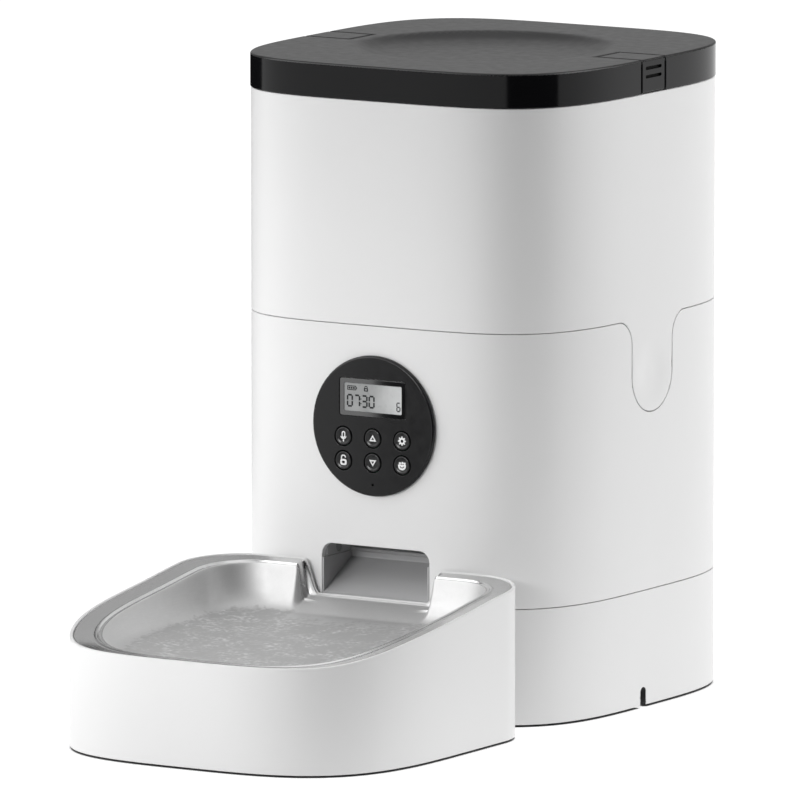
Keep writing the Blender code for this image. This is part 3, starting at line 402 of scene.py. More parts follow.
def skin(surface, edges, wall, spacing, dent=None):
    """A moulded panel over a surface, as (points, faces, normals). The first edge is the outside, and the
    rest are holes. Dent gives extra depth at each place."""
    edges = [e if (area_of(e.points) > 0) == (k == 0) else e.turned() for k, e in enumerate(edges)]
    places, faces = triangulate(edges, seed_points(edges, spacing))
    along_u, along_v = surface.tangents(places)
    normal = surface.normal(places)
    depth, lean, outward = rounded_edges(edges, places)
    dip = np.zeros(len(places))
    if dent is not None:
        dip = dent(places)
        e = 0.05
        slope_u = (dent(places + (e, 0)) - dent(places - (e, 0))) / (2 * e)
        slope_v = (dent(places + (0, e)) - dent(places - (0, e))) / (2 * e)
        normal = normal + along_u * slope_u[:, None] + along_v * slope_v[:, None]
        normal /= np.linalg.norm(normal, axis=1)[:, None]
    tilt = along_u * outward[:, :1] + along_v * outward[:, 1:]
    shown = normal * np.sqrt(1 - lean**2)[:, None] + tilt * lean[:, None]
    points, normals = [surface.place(places, depth + dip)], [shown]
    polygons = [tuple(face) for face in faces]
    start = len(places)
    for edge in edges:
        count = len(edge.points)
        out = -left_normals(edge.points)
        side_u, side_v = surface.tangents(edge.points)
        facing = side_u * out[:, :1] + side_v * out[:, 1:]
        extra = np.zeros(count) if dent is None else dent(edge.points)
        points += [surface.place(edge.points, extra + down) for down in (edge.rounding, wall)]
        normals += [facing, facing]
        for i in range(count):
            j = (i + 1) % count
            if edge.walled[i] and edge.walled[j]:
                polygons.append((start + i, start + count + i, start + count + j, start + j))
        start += 2 * count
    points.append(surface.place(places, wall + dip))
    normals.append(-surface.normal(places))
    polygons += [tuple(start + i for i in face[::-1]) for face in faces]
    return np.concatenate(points), polygons, np.concatenate(normals)


def add_skin(name, made, body, look, extra=None):
    """A skin as an object that keeps its exact normals, with extra plain (points, faces) joined to it."""
    points, faces, normals = made
    parts = [(points, faces)] + (extra or [])
    all_points, all_faces = joined(parts)
    obj = add_mesh(name, all_points, all_faces, body, look)
    mesh = obj.data
    mesh.set_sharp_from_angle(angle=math.radians(40))
    exact = [tuple(Vector(n).normalized()) for n in normals]
    if not extra:
        mesh.normals_split_custom_set_from_vertices(exact)
        return obj
    corner = [tuple(c.vector) for c in mesh.corner_normals]
    vertices = [loop.vertex_index for loop in mesh.loops]
    mesh.normals_split_custom_set([exact[v] if v < len(exact) else corner[i] for i, v in enumerate(vertices)])
    return obj


def arc(centre, radius, start, end, count):
    """So many points on an arc between two angles in degrees."""
    angles = np.radians(np.linspace(start, end, count))
    return [(centre[0] + radius * math.cos(t), centre[1] + radius * math.sin(t)) for t in angles]


WALL = BodyWall()
QUARTER = WALL.length / 4


# ---------------------------------------------------------------- materials


class Nodes:
    """Short ways to add shader nodes to a tree."""

    def __init__(self, tree, place):
        self.tree = tree
        self.place = self.node("TexCoord", place)

    def fill(self, node, inputs):
        """Set inputs of a node, each from a number, a tuple or another node's socket."""
        for key, value in inputs.items():
            socket = node.inputs[key]
            if isinstance(value, bpy.types.NodeSocket):
                self.tree.links.new(value, socket)
            else:
                socket.default_value = (*value, 1.0) if socket.type == "RGBA" else value

    def node(self, kind, output, inputs=None, **settings):
        """One output of a new node with these inputs and settings."""
        made = self.tree.nodes.new("ShaderNode" + kind)
        for key, value in settings.items():
            setattr(made, key, value)
        self.fill(made, inputs or {})
        return made.outputs[output]

    def noise(self, size_mm, detail=2.0, stretch=None):
        """Noise with features about so many millimetres across. Stretch scales the axes one by one."""
        place = self.place
        if stretch:
            place = self.node("Mapping", "Vector", {"Vector": place, "Scale": stretch})
        return self.node("TexNoise", "Fac", {"Scale": 1000.0 / size_mm, "Detail": detail, "Vector": place})

    def spread(self, source, low, high, from_low=0.3, from_high=0.7):
        """The source mapped to low..high. Noise stays mostly between 0.3 and 0.7."""
        limits = {"From Min": from_low, "From Max": from_high, "To Min": low, "To Max": high}
        return self.node("MapRange", "Result", {**limits, "Value": source})

    def blend(self, factor, first, second):
        """A colour between two."""
        return self.node("Mix", 2, {0: factor, 6: first, 7: second}, data_type="RGBA")

    def blend_value(self, factor, first, second):
        """A number between two."""
        return self.node("Mix", 0, {0: factor, 2: first, 3: second})

    def sum(self, first, second):
        return self.node("Math", "Value", {0: first, 1: second})

    def attribute(self, name):
        """A number kept at each vertex of the mesh."""
        return self.node("Attribute", "Fac", attribute_name=name)


class Look(Nodes):
    """A procedural material: a Principled shader with noise-driven colour, roughness and bump."""

    def __init__(self, name, metallic=0.0):
        self.material = bpy.data.materials.new(name)
        self.material.use_nodes = True
        super().__init__(self.material.node_tree, "Object")
        self.shader = self.tree.nodes["Principled BSDF"]
        self.shade("Metallic", metallic)

    def shade(self, name, value):
        self.fill(self.shader, {name: value})

    def bump(self, layers):
        """Layers of (height socket, depth in millimetres), each on top of the last."""
        last = {}
        for height, depth in layers:
            last = {"Normal": self.node("Bump", "Normal", {"Distance": depth * MM, "Height": height, **last})}
        self.fill(self.shader, last)


def grey(value, blue=None):
    """A grey, or one with a touch more or less blue."""
    return value, value, value if blue is None else blue


def moulded(name, colour, roughness, grain=0.004, spread=0.03, tone=0.03, specular=0.5, wave=0.01):
    """Injection-moulded plastic: slight tone drift, uneven gloss and a fine spark-eroded grain."""
    look = Look(name)
    lower = tuple(c * (1 - tone) for c in colour)
    look.shade("Base Color", look.blend(look.noise(38, 3), lower, colour))
    look.shade("Roughness", look.spread(look.noise(5, 4), roughness - spread, roughness + spread))
    look.bump([(look.noise(0.5, 2), grain), (look.noise(24, 2), wave)])
    look.shade("Specular IOR Level", specular)
    return look.material


def brushed(name, colour, roughness):
    """Drawn or brushed metal: fine scratches along one direction."""
    look = Look(name, metallic=1.0)
    lines = look.noise(0.35, 3, (0.05, 1, 1))
    look.shade("Base Color", look.blend(lines, tuple(c * 0.88 for c in colour), colour))
    look.shade("Roughness", look.spread(lines, roughness - 0.06, roughness + 0.08))
    look.bump([(lines, 0.003)])
    return look.material


WHITE = moulded("satin_white_plastic", grey(0.76), 0.36, specular=0.35)
INNER = moulded("matt_off_white_plastic", grey(0.70, 0.69), 0.52, grain=0.008)
BLACK_GLOSS = moulded("gloss_black_plastic", grey(0.004, 0.0045), 0.12, 0.0004, 0.02, specular=0.19)
BLACK_MATT = moulded("fine_textured_black_plastic", grey(0.011, 0.0115), 0.36, grain=0.003, wave=0.002)
PANEL_BLACK = moulded("satin_black_plastic", grey(0.007, 0.0075), 0.22, grain=0.001, specular=0.34)
GREY = moulded("matt_grey_plastic", grey(0.42, 0.425), 0.5, grain=0.008)
SMOKED = moulded("smoked_infrared_window", grey(0.3, 0.305), 0.25, grain=0.001)
GLASS_BLACK = moulded("black_backed_glass", grey(0.006, 0.0065), 0.06, 0.0002, 0.01, specular=1.0)
GLASS_BLACK.node_tree.nodes["Principled BSDF"].inputs["IOR"].default_value = 1.62
LCD_INK = moulded("dark_liquid_crystal", grey(0.02, 0.022), 0.3, grain=0.001, specular=0.2)
PRINT = moulded("white_print", grey(0.82), 0.5, grain=0.002)
# Real black rubber, also used in the cable notch as painted shade
RUBBER_AND_PAINTED_NOTCH_SHADE = moulded("matt_black_rubber_and_painted_notch_shade", grey(0.03), 0.8, grain=0.02)
# Near-black for the sheet behind the latch slots: painted shade
PAINTED_SHADE_BLACK = moulded("painted_shade_black_plastic", grey(0.002), 0.6, grain=0.004, specular=0.08)
SILICONE = moulded("grey_silicone", (0.52, 0.54, 0.54), 0.55, grain=0.006)
ACETAL = moulded("natural_acetal", (0.78, 0.76, 0.68), 0.42)
BOARD = moulded("green_solder_mask", (0.015, 0.12, 0.05), 0.35, grain=0.01, tone=0.3)
CELL = moulded("dark_battery_sleeve", grey(0.05, 0.06), 0.3)
STEEL = brushed("brushed_steel", grey(0.62), 0.3)
BRASS = brushed("turned_brass", (0.72, 0.52, 0.24), 0.3)


def bowl_steel():
    """Satin pressed steel. The mesh's attributes floor, spout and flange say where each of these is."""
    look = Look("satin_bowl_steel", metallic=1.0)
    ragged = look.blend_value(look.noise(1.8, 4), look.noise(8, 3), look.noise(2.5, 3))
    dull = look.spread(look.sum(look.attribute("floor"), look.spread(ragged, -0.6, 0.4)), 0, 1, 0.3, 0.75)
    fleck = look.spread(look.noise(2.4, 7), 0, 1, 0.46, 0.66)
    patch = look.spread(look.noise(11, 4), 0, 1, 0.4, 0.6)
    satin = look.blend(look.noise(0.4, 2, (1, 0.06, 1)), grey(0.60), grey(0.66))
    etched = look.blend(look.blend_value(patch, 0.0, fleck), grey(0.52), grey(0.74))
    look.shade("Base Color", look.blend(dull, satin, etched))
    smooth = look.blend_value(look.attribute("spout"), look.spread(look.noise(3, 3), 0.57, 0.62), 0.6)
    smooth = look.blend_value(look.attribute("flange"), smooth, look.spread(look.noise(3, 3), 0.2, 0.26))
    look.shade("Roughness", look.blend_value(dull, smooth, 0.68))
    look.bump([(look.noise(0.4, 2, (1, 0.06, 1)), 0.0006), (fleck, 0.01)])
    return look.material


def liquid_crystal():
    """Grey reflective display, with painted light that makes it brighter towards its right side."""
    look = Look("grey_liquid_crystal")
    # Painted light: the base colour brightens from left to right across the display.
    across = look.spread(look.node("SeparateXYZ", "X", {0: look.place}), 0, 1, -0.004, 0.018)
    cloudy = look.spread(look.noise(7, 3), -0.12, 0.12)
    look.shade("Base Color", look.blend(look.sum(across, cloudy), (0.30, 0.305, 0.305), (0.62, 0.63, 0.63)))
    look.shade("Roughness", look.spread(look.noise(2, 2), 0.26, 0.34))
    look.bump([(look.noise(0.3, 2), 0.0005)])
    look.shade("Specular IOR Level", 0.3)
    return look.material


LCD = liquid_crystal()
BOWL_STEEL = bowl_steel()


# ---------------------------------------------------------------- white shells


def tongue_path(centre, half, fillet, top):
    """From one side of a tongue to the other: down a fillet, round the end and up again, left to right."""
    middle = TONGUE_HALF + TONGUE_FILLET
    centre_z = SHELL_HIGH[2] + SEAM_GAP / 2 - TONGUE_FILLET + TONGUE_GAP
    reach = math.degrees(math.asin(min(1.0, (top - centre_z) / fillet)))
    left = arc((centre - middle, centre_z), fillet, reach, 0, 14)
    bottom = arc((centre, TONGUE_CENTRE_Z), half, 180, 360, 41)
    right = arc((centre + middle, centre_z), fillet, 180, 180 - reach, 14)
    return left + bottom + right


def neck_half():
    """Half the width of a tongue at its hinge line, where it meets the tank's wall."""
    return -tongue_path(0, TONGUE_HALF, TONGUE_FILLET, TONGUE_HINGE_Z)[0][0]


def hinge_line(outline):
    """Which points lie on a tongue's hinge line."""
    across = np.abs(np.abs(outline[:, 0]) - QUARTER)
    return (np.abs(outline[:, 1] - TONGUE_HINGE_Z) < 1e-6) & (across < neck_half() - 0.01)


def wall_ends(outline, low, high):
    """Which points lie where the two ends of an unrolled wall meet, at the middle of the back."""
    at_end = np.abs(np.abs(outline[:, 0]) - WALL.length / 2) < 1e-6
    return at_end & (outline[:, 1] > low) & (outline[:, 1] < high)


def seam_edge(outline, runs_on):
    """An edge with the rounding of the seams, except where the wall runs on into another piece."""
    return Edge(outline, np.where(runs_on, 0.0, SEAM_ROUND), ~runs_on)


def base_wall():
    """The upper white wall, with the chute's mouth, the panel's hole and a bay for each tongue."""
    low, high, half = SHELL_LOW[2], SHELL_HIGH[2], WALL.length / 2
    mouth = arc((MOUTH_HALF - MOUTH_CORNER, MOUTH_TOP - MOUTH_CORNER), MOUTH_CORNER, 0, 90, 9)
    mouth = [(-MOUTH_HALF, low)] + [(-u, z) for u, z in mouth] + mouth[::-1] + [(MOUTH_HALF, low)]
    outline = [(-half, low)] + mouth + [(half, low), (half, high)]
    for centre in (QUARTER, -QUARTER):
        outline += tongue_path(centre, TONGUE_HALF + TONGUE_GAP, TONGUE_FILLET - TONGUE_GAP, high)[::-1]
    outline = resample(outline + [(-half, high)], 2.0)
    panel = Edge(arc((0, PANEL_Z), PANEL_HOLE, 0, 354, 60), 0.3)
    made = skin(WALL, [seam_edge(outline, wall_ends(outline, low, high)), panel], SHELL_WALL, 4.0)
    obj = add_skin("base_wall", made, "base", WHITE)
    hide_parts("base_shell")


def lower_wall():
    """The lower white wall, with its screw posts and the cable notch, whose inner faces get the black rubber
    material as painted shade.
    """
    low, high, half = LOWER_LOW[2], LOWER_HIGH[2], WALL.length / 2
    notch = arc((QUARTER + NOTCH_OFFSET, NOTCH_TOP), NOTCH_HALF, 180, 0, 17)
    bottom = [(-half, low), (notch[0][0], low)] + notch + [(notch[-1][0], low), (half, low)]
    outline = resample(bottom + [(half, high), (-half, high)], 2.0)
    made = skin(WALL, [seam_edge(outline, wall_ends(outline, low, high))], SHELL_WALL, 4.0)
    post = [(1.75, 6), (4.2, 6), (4.2, 24), (1.75, 24), (1.75, 6)]
    posts = [lathe(post, (x, y, 0), "Z", 32) for x in (-70, 70) for y in (-73, 73)]
    obj = add_skin("lower_wall", made, "base", WHITE, posts)
    # The cable notch's inner faces take the black rubber material: painted shade for the unlit hollow behind
    # the notch.
    obj.data.materials.append(RUBBER_AND_PAINTED_NOTCH_SHADE)
    middle = world(WALL.place(np.array([(QUARTER + NOTCH_OFFSET, 0.0)]), [0.0]))[0]
    for face in obj.data.polygons:
        away = math.hypot(face.center.x - middle[0], face.center.y - middle[1]) / MM
        below = face.center.z / MM < NOTCH_TOP + NOTCH_HALF + 0.6
        if below and away < NOTCH_HALF + 2 and abs(face.normal.x) < 0.6:
            face.material_index = 1
    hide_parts("lower_shell")


def tank_wall():
    """The tank's white wall, open where a tongue hangs from it, and the funnel inside."""
    seam, high, half = SHELL_HIGH[2] + SEAM_GAP, TANK_TOP, WALL.length / 2
    bottom = [(-half, seam)]
    for centre in (-QUARTER, QUARTER):
        flare = [p for p in tongue_path(centre, TONGUE_HALF, TONGUE_FILLET, seam) if p[1] >= TONGUE_HINGE_Z]
        across = len(flare) // 2
        hinge = [(centre - neck_half(), TONGUE_HINGE_Z), (centre + neck_half(), TONGUE_HINGE_Z)]
        bottom += flare[:across] + hinge + flare[across:]
    bottom += [(half, seam)]
    outline = resample(bottom + [(half, high), (-half, high)], 2.0)
    runs_on = wall_ends(outline, seam, high) | hinge_line(outline)
    made = skin(WALL, [seam_edge(outline, runs_on)], TANK_WALL, 4.0)
    obj = add_skin("tank_wall", made, "tank", WHITE, [tank_funnel(seam)])
    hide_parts("tank_shell")


def level_ring(outline, z):
    return np.column_stack([outline, np.full(len(outline), z)])


def tank_funnel(seam):
    """The skirt that drops into the base and the funnel down to the rotor, as a closed band."""
    skirt, inner, overlap, count = 5.2, 5.2 + TANK_WALL, TANK_WALL - 0.6, 240
    down = ((overlap, seam + 8), (TANK_WALL, seam + 6), (inner, seam + 1), (inner, 178.4))
    throat = ((58.4, 140), (58.4, 137), (61, 137), (61, 138.6))
    up = ((skirt, 176), (skirt, seam - 2), (skirt, seam + 0.1), (overlap, seam + 0.1))
    angles = np.linspace(-math.pi / 2, 1.5 * math.pi, count, endpoint=False)
    circle = np.column_stack([np.cos(angles), np.sin(angles)])
    rings = [level_ring(superellipse(count, inset), z) for inset, z in down]
    rings += [level_ring(circle * radius + (0, ROTOR_Y), z) for radius, z in throat]
    rings += [level_ring(superellipse(count, inset), z) for inset, z in up]
    return np.concatenate(rings), ring_faces(len(rings), count, closed=True)


def tongues():
    """The press tongues, each hanging from the tank's wall at its root and running down to its round end."""
    for side, name in ((1, "right"), (-1, "left")):
        centre = side * QUARTER
        outline = resample(tongue_path(centre, TONGUE_HALF, TONGUE_FILLET, TONGUE_HINGE_Z), 2.0)

        def dimple(places, centre=centre):
            far = np.hypot(places[:, 0] - centre, places[:, 1] - TONGUE_CENTRE_Z)
            return 1 - smooth_step(far, 3, 17)

        made = skin(WALL, [seam_edge(outline, hinge_line(outline))], TANK_WALL, 2.0, dimple)
        obj = add_skin(f"release_tongue_{name}", made, None, WHITE)
        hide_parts(f"tank_release_{name}")
        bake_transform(obj)


base_wall()
lower_wall()
tank_wall()
tongues()


# ---------------------------------------------------------------- lid and latches

LID_WALL = BodyWall(-LID_PROUD)
LID_QUARTER = LID_WALL.length / 4
LID_ROUND, LATCH_ROUND, LID_SHEET = 1.0, 1.1, 2.6
DISH_DEPTH, DISH_RADIUS, DISH_SLOPE = 4.4, 62.2, 0.44


def patch(left, right, low, high, step):
    """The outline of an upright patch of wall, with its long edges split."""
    return resample([(left, low), (right, low), (right, high), (left, high)], step)


def lid_dish(places):
    """Depth of the round dip in the lid: a soft shoulder, a slope and a flat middle."""
    inward = DISH_RADIUS - np.hypot(places[:, 0], places[:, 1])
    shoulder = 0.7 * np.logaddexp(0, inward / 0.7)
    return DISH_DEPTH * np.tanh(DISH_SLOPE * shoulder / 4.0)


def lid_outline():
    """The lid's plan with a slot at each side, and which of its points lie on the outer edge."""
    half, edge = LATCH_HALF + LATCH_GROOVE, HALF_WIDTH + LID_PROUD
    start = edge - LATCH_REACH - LATCH_GROOVE
    path = np.array([(edge, -half), (start, -half), (start, half), (edge, half)])
    slot = [p for a, b in zip(path, path[1:]) for p in np.linspace(a, b, 12, endpoint=False)] + [path[-1]]
    points, rounded, used = [], [], set()
    for place in superellipse(1200, -LID_PROUD):
        side = 1 if place[0] > 0 else -1
        if abs(place[1]) > half:
            points.append(place)
            rounded.append(True)
        elif side not in used:
            used.add(side)
            points += [side * p for p in slot]
            rounded += [False] * len(slot)
    return np.array(points), np.array(rounded)


def lid():
    """The lid's matt top with its dip, and a gloss side in front and behind, between the latches."""
    points, rounded = lid_outline()
    top_edge = Edge(points, np.where(rounded, LID_ROUND, LATCH_ROUND), ~rounded)
    top = skin(top_plane(LID_HIGH[2]), [top_edge], LID_SHEET, 2.4, lid_dish)
    obj = add_skin("lid_top", top, "lid", BLACK_MATT)
    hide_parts("lid_cover")
    low, high = LID_LOW[2], LID_HIGH[2] - LID_ROUND
    for name, start, end in (("front", -1, 1), ("back", 1, 3)):
        gap = LATCH_HALF + LATCH_GROOVE
        first, last = start * LID_QUARTER + gap, end * LID_QUARTER - gap
        outline = patch(first, last, low, high, 2.0)
        top_row = np.abs(outline[:, 1] - high) < 1e-6
        end_column = np.abs(np.abs(outline[:, 0] - (first + last) / 2) - (last - first) / 2) < 1e-6
        rounding = np.where(top_row, 0.0, np.where(end_column & (outline[:, 1] > low), 0.6, 0.3))
        side = skin(LID_WALL, [Edge(outline, rounding, ~top_row)], 2.6, 4.0)
        add_skin(f"lid_side_{name}", side, "lid", BLACK_GLOSS)


def rectangle(centre, width, height, radius, count=5):
    """A rectangle with round corners."""
    x, y = centre
    w, h = width / 2 - radius, height / 2 - radius
    points = []
    for dx, dy, start in ((w, h, 0), (-w, h, 90), (-w, -h, 180), (w, -h, 270)):
        points += arc((x + dx, y + dy), radius, start, start + 90, count)
    return np.array(points)


def window(centre, width, height, corner, rounding, step=1.5):
    """A rectangle with round corners as an edge."""
    return Edge(resample(rectangle(centre, width, height, corner), step), rounding)


def latches():
    """Each latch: a matt top, a gloss side with two grip slots, and a near-black sheet behind the slots as
    their painted shade.
    """
    for side, name in ((1, "right"), (-1, "left")):
        body = f"latch_{name}"
        half, edge = LATCH_HALF - 0.2, HALF_WIDTH + LID_PROUD
        reach = edge - LATCH_REACH + 0.2
        path = ((edge, -half), (edge, half), (reach, half), (reach, -half))
        top = resample([(side * x, y) for x, y in path], 1.5)
        outer = np.abs(np.abs(top[:, 0]) - edge) < 1e-6
        rim = Edge(top, np.where(outer, LID_ROUND, LATCH_ROUND), ~outer)
        made = skin(top_plane(LATCH_HIGH[2]), [rim], 2.2, 2.5)
        obj = add_skin(f"{body}_top", made, body, BLACK_MATT)
        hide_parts(f"lid_latch_{name}")
        low, high = LATCH_LOW[2], LATCH_HIGH[2] - LID_ROUND
        middle = side * LID_QUARTER
        outline = patch(middle - half, middle + half, low, high, 1.5)
        top_row = np.abs(outline[:, 1] - high) < 1e-6
        slots = [window((middle, z), 14.6, 1.5, 0.7, 0.12, 1.0) for z in LATCH_SLOTS]
        made = skin(LID_WALL, [Edge(outline, np.where(top_row, 0.0, 0.5), ~top_row)] + slots, 1.6, 2.5)
        add_skin(f"{body}_side", made, body, BLACK_GLOSS)
        # A near-black sheet behind the grip slots stands in for the shade inside them: painted shade.
        deep = BodyWall(-LID_PROUD + 1.2)
        plate = patch(-8, 8, 296, 307, 2.0) + (side * deep.length / 4, 0)
        made = skin(deep, [Edge(plate, 0.2)], 1.0, 3.0)
        add_skin(f"{body}_painted_shade_web", made, body, PAINTED_SHADE_BLACK)


lid()
latches()


# ---------------------------------------------------------------- control panel


def stroke(path, width):
    """The outline of a line of that width along an open path."""
    path = np.asarray(path, float)
    run = np.gradient(path, axis=0)
    run /= np.hypot(*run.T)[:, None]
    side = np.column_stack([-run[:, 1], run[:, 0]]) * width / 2
    return np.concatenate([path - side, (path + side)[::-1]])


def print_plate(name, loops, face, look, body, thickness=0.25, rounding=0.05):
    """Thin raised shapes on a plane that faces the front, each a loop or a list of an outside and holes."""
    parts = []
    for loop in loops:
        edges = [Edge(resample(part, 0.5), rounding) for part in (loop if isinstance(loop, list) else [loop])]
        parts.append(skin(front_plane(face), edges, thickness, 0.7)[:2])
    points, faces = joined(parts)
    return add_mesh(name, points, faces, body, look, sharp=30)


# Each icon is a list of shapes about its middle, for print_plate
def icon_record():
    ring = [rectangle((0, 0.75), 2.0, 3.3, 0.99, 9), rectangle((0, 0.75), 0.9, 2.1, 0.44, 9)]
    cradle = stroke(arc((0, 0.3), 1.5, 195, 345, 17), 0.5)
    return [ring, cradle, np.array([(-0.32, -2.6), (0.32, -2.6), (0.32, -1.5), (-0.32, -1.5)])]


def icon_triangle(up):
    outer = np.array([(-1.95, -1.35), (1.95, -1.35), (0, 1.75)])
    inner = np.array([(-0.85, -0.68), (0.85, -0.68), (0, 0.62)])
    return [[outer * (1, up), inner * (1, up)]]


def icon_settings():
    angles = np.linspace(0, 2 * math.pi, 96, endpoint=False)
    radius = 1.9 + 0.3 * np.clip(2.2 * np.cos(8 * angles), -1, 1)
    gear = np.column_stack([radius * np.cos(angles), radius * np.sin(angles)])
    return [[gear, np.array(arc((0, 0), 0.75, 0, 345, 24))]]


def icon_lock():
    body = [rectangle((0, -0.8), 3.5, 2.9, 0.9), rectangle((0, -0.8), 1.7, 1.2, 0.55)]
    shackle = stroke([(-1.1, 0.5), (-1.1, 1.4)] + arc((0, 1.4), 1.1, 180, 0, 13)[1:], 0.62)
    return [body, shackle]


def icon_feed():
    bowl_shape = arc((0, -0.1), 2.2, 180, 360, 19) + [(2.2, 0.35), (-2.2, 0.35)]
    slot = stroke(arc((0, 0.1), 1.25, 205, 335, 11), 0.4)
    kibble = [np.array(arc((x, z), 0.6, 0, 330, 12)) for x, z in ((-1.15, 0.95), (0.25, 1.15), (1.45, 0.95))]
    return [[np.array(bowl_shape), slot]] + kibble


ICONS = {
    "record": icon_record(),
    "up": icon_triangle(1),
    "settings": icon_settings(),
    "lock": icon_lock(),
    "down": icon_triangle(-1),
    "feed": icon_feed(),
}


def shifted(loops, x, z):
    return [[part + (x, z) for part in loop] if isinstance(loop, list) else loop + (x, z) for loop in loops]


def buttons():
    """A cap with a raised rim and its icon for each button. Returns the places of their middles."""
    places = []
    for name, icon in ICONS.items():
        button = f"button_{name}"
        low, high = corners(button)
        x, z, radius = (low[0] + high[0]) / 2, (low[2] + high[2]) / 2, BUTTON_RADIUS
        face, back = low[1] - AXIS_Y, high[1] - AXIS_Y
        profile = [(radius - inset, face + depth) for inset, depth in BUTTON_FACE]
        points, faces = lathe(profile + [(radius, back), (0.02, back)], (x, 0, z), "Y", 64)
        cap = add_mesh(f"cap_{name}", points, faces, button, PANEL_BLACK, sharp=50)
        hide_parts(button)
        print_plate(f"icon_{name}", shifted(icon, x, z), face + 0.18, PRINT, button)
        places.append((x, z))
    return places


SEGMENTS = {"0": "abcdef", "3": "abcdg", "6": "acdefg", "7": "abc"}


def digit(character, x, z, width, height, thick):
    """The lit bars of a seven-segment digit, its lower left corner at x, z."""
    half = height / 2
    g = thick * 0.3
    lines = {
        "a": ((g, height), (width - g, height)),
        "b": ((width, height - g), (width, half + g)),
        "c": ((width, half - g), (width, g)),
        "d": ((g, 0), (width - g, 0)),
        "e": ((0, half - g), (0, g)),
        "f": ((0, height - g), (0, half + g)),
        "g": ((g, half), (width - g, half)),
    }
    return [stroke(np.array(lines[bar]) + (x, z), thick) for bar in SEGMENTS[character]]


def display():
    """The bezel's window: a gloss frame round a liquid crystal with a time, a lock and a battery."""
    middle = PANEL_Z + DISPLAY_UP
    low, high = corners("display_window")
    face = low[1] - AXIS_Y
    screen = face + 0.3
    edges = [window((0, middle), high[0] - low[0], high[2] - low[2], 1.1, 0.12),
             window((0, middle), 31.8, 13.3, 0.5, 0.1)]
    made = skin(front_plane(face), edges, 0.8, 3.0)
    obj = add_skin("display_frame", made, "base", GLASS_BLACK)
    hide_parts("display_window")
    made = skin(front_plane(screen), [window((0, middle), 32.2, 13.7, 0.3, 0.05)], 0.5, 3.0)
    add_skin("display_screen", made, "base", LCD)
    left, base, upper = -15.0, middle - 4.4, middle + 4.3
    signs = []
    for character, x in (("0", 0.9), ("7", 4.9), ("3", 9.0), ("0", 12.9)):
        signs += digit(character, left + x, base, 2.6, 5.3, 0.85)
    signs += [rectangle((left + 8.3, base + z), 0.55, 0.55, 0.2) for z in (1.5, 3.7)]
    signs += digit("6", left + 28.2, base - 0.7, 1.7, 4.0, 0.6)
    lock = [rectangle((0, -0.5), 2.2, 1.7, 0.3), rectangle((0, -0.5), 1.0, 0.7, 0.2)]
    signs += shifted([lock, stroke(arc((0, 0.4), 0.75, 0, 180, 11), 0.4)], -3.9, middle + 4.4)
    signs.append([rectangle((left + 3.2, upper), *size) for size in ((5.0, 2.2, 0.4), (4.2, 1.4, 0.2))])
    signs += [rectangle((left + 1.9 + 1.25 * k, upper), 0.95, 0.95, 0.1) for k in range(3)]
    signs.append(rectangle((left + 5.95, upper), 0.35, 1.0, 0.1))
    print_plate("display_signs", signs, screen - 0.03, LCD_INK, "base", 0.06, 0.0)


def bezel():
    """The round panel, with holes for the buttons, the display and the microphone."""
    edges = [Edge(arc((0, PANEL_Z), PANEL_RADIUS, 0, 358, 180), 1.1)]
    edges += [Edge(arc(spot, BUTTON_RADIUS + 0.5, 0, 354, 60), 0.25) for spot in buttons()]
    edges.append(window((0, PANEL_Z + DISPLAY_UP), 36.9, 18.3, 1.4, 0.12))
    edges.append(Edge(arc((0, PANEL_Z - 28), 0.65, 0, 342, 20), 0.1))
    made = skin(front_plane(PANEL_FACE), edges, 1.9, 3.0)
    barrel = lathe([(31.2, -99.3), (31.2, -92), (29.6, -92), (29.6, -99.3)], (0, 0, PANEL_Z), "Y", 96)
    obj = add_skin("bezel", made, "base", PANEL_BLACK, [barrel])
    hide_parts("panel_bezel")
    display()


bezel()


# ---------------------------------------------------------------- tray and bowl


def evenly(points, count):
    """The same open path as so many points at equal distances."""
    points = np.asarray(points, float)
    along = np.concatenate([[0], np.cumsum(np.hypot(*np.diff(points, axis=0).T))])
    marks = np.linspace(0, along[-1], count)
    return np.column_stack([np.interp(marks, along, points[:, k]) for k in range(2)])


def tray_outline(inset, back_inset=None):
    """The tray's plan: a squarish ellipse in front, straight sides, round back corners, a straight back."""
    half, depth = TRAY_HALF - inset, TRAY_CENTRE_Y - TRAY_FRONT - inset
    back = TRAY_BACK - (inset if back_inset is None else back_inset)
    radius = TRAY_CORNER - 0.35 * inset
    t = np.linspace(math.pi, 2 * math.pi, 3001)
    c, s = np.cos(t), np.sin(t)
    x = half * np.sign(c) * np.abs(c) ** (2 / TRAY_POWER)
    y = TRAY_CENTRE_Y + depth * np.sign(s) * np.abs(s) ** (2 / TRAY_POWER)
    front = evenly(np.column_stack([x, y]), 261)
    side = evenly([(half, TRAY_CENTRE_Y), (half, back - radius)], 25)
    corner = arc((half - radius, back - radius), radius, 0, 90, 25)
    straight = evenly([(half - radius, back), (radius - half, back)], 161)
    other = [(-x, y) for x, y in reversed(corner)]
    return np.concatenate([front, side[1:], corner[1:], straight[1:], other[1:], -side[::-1][1:-1] * (1, -1)])


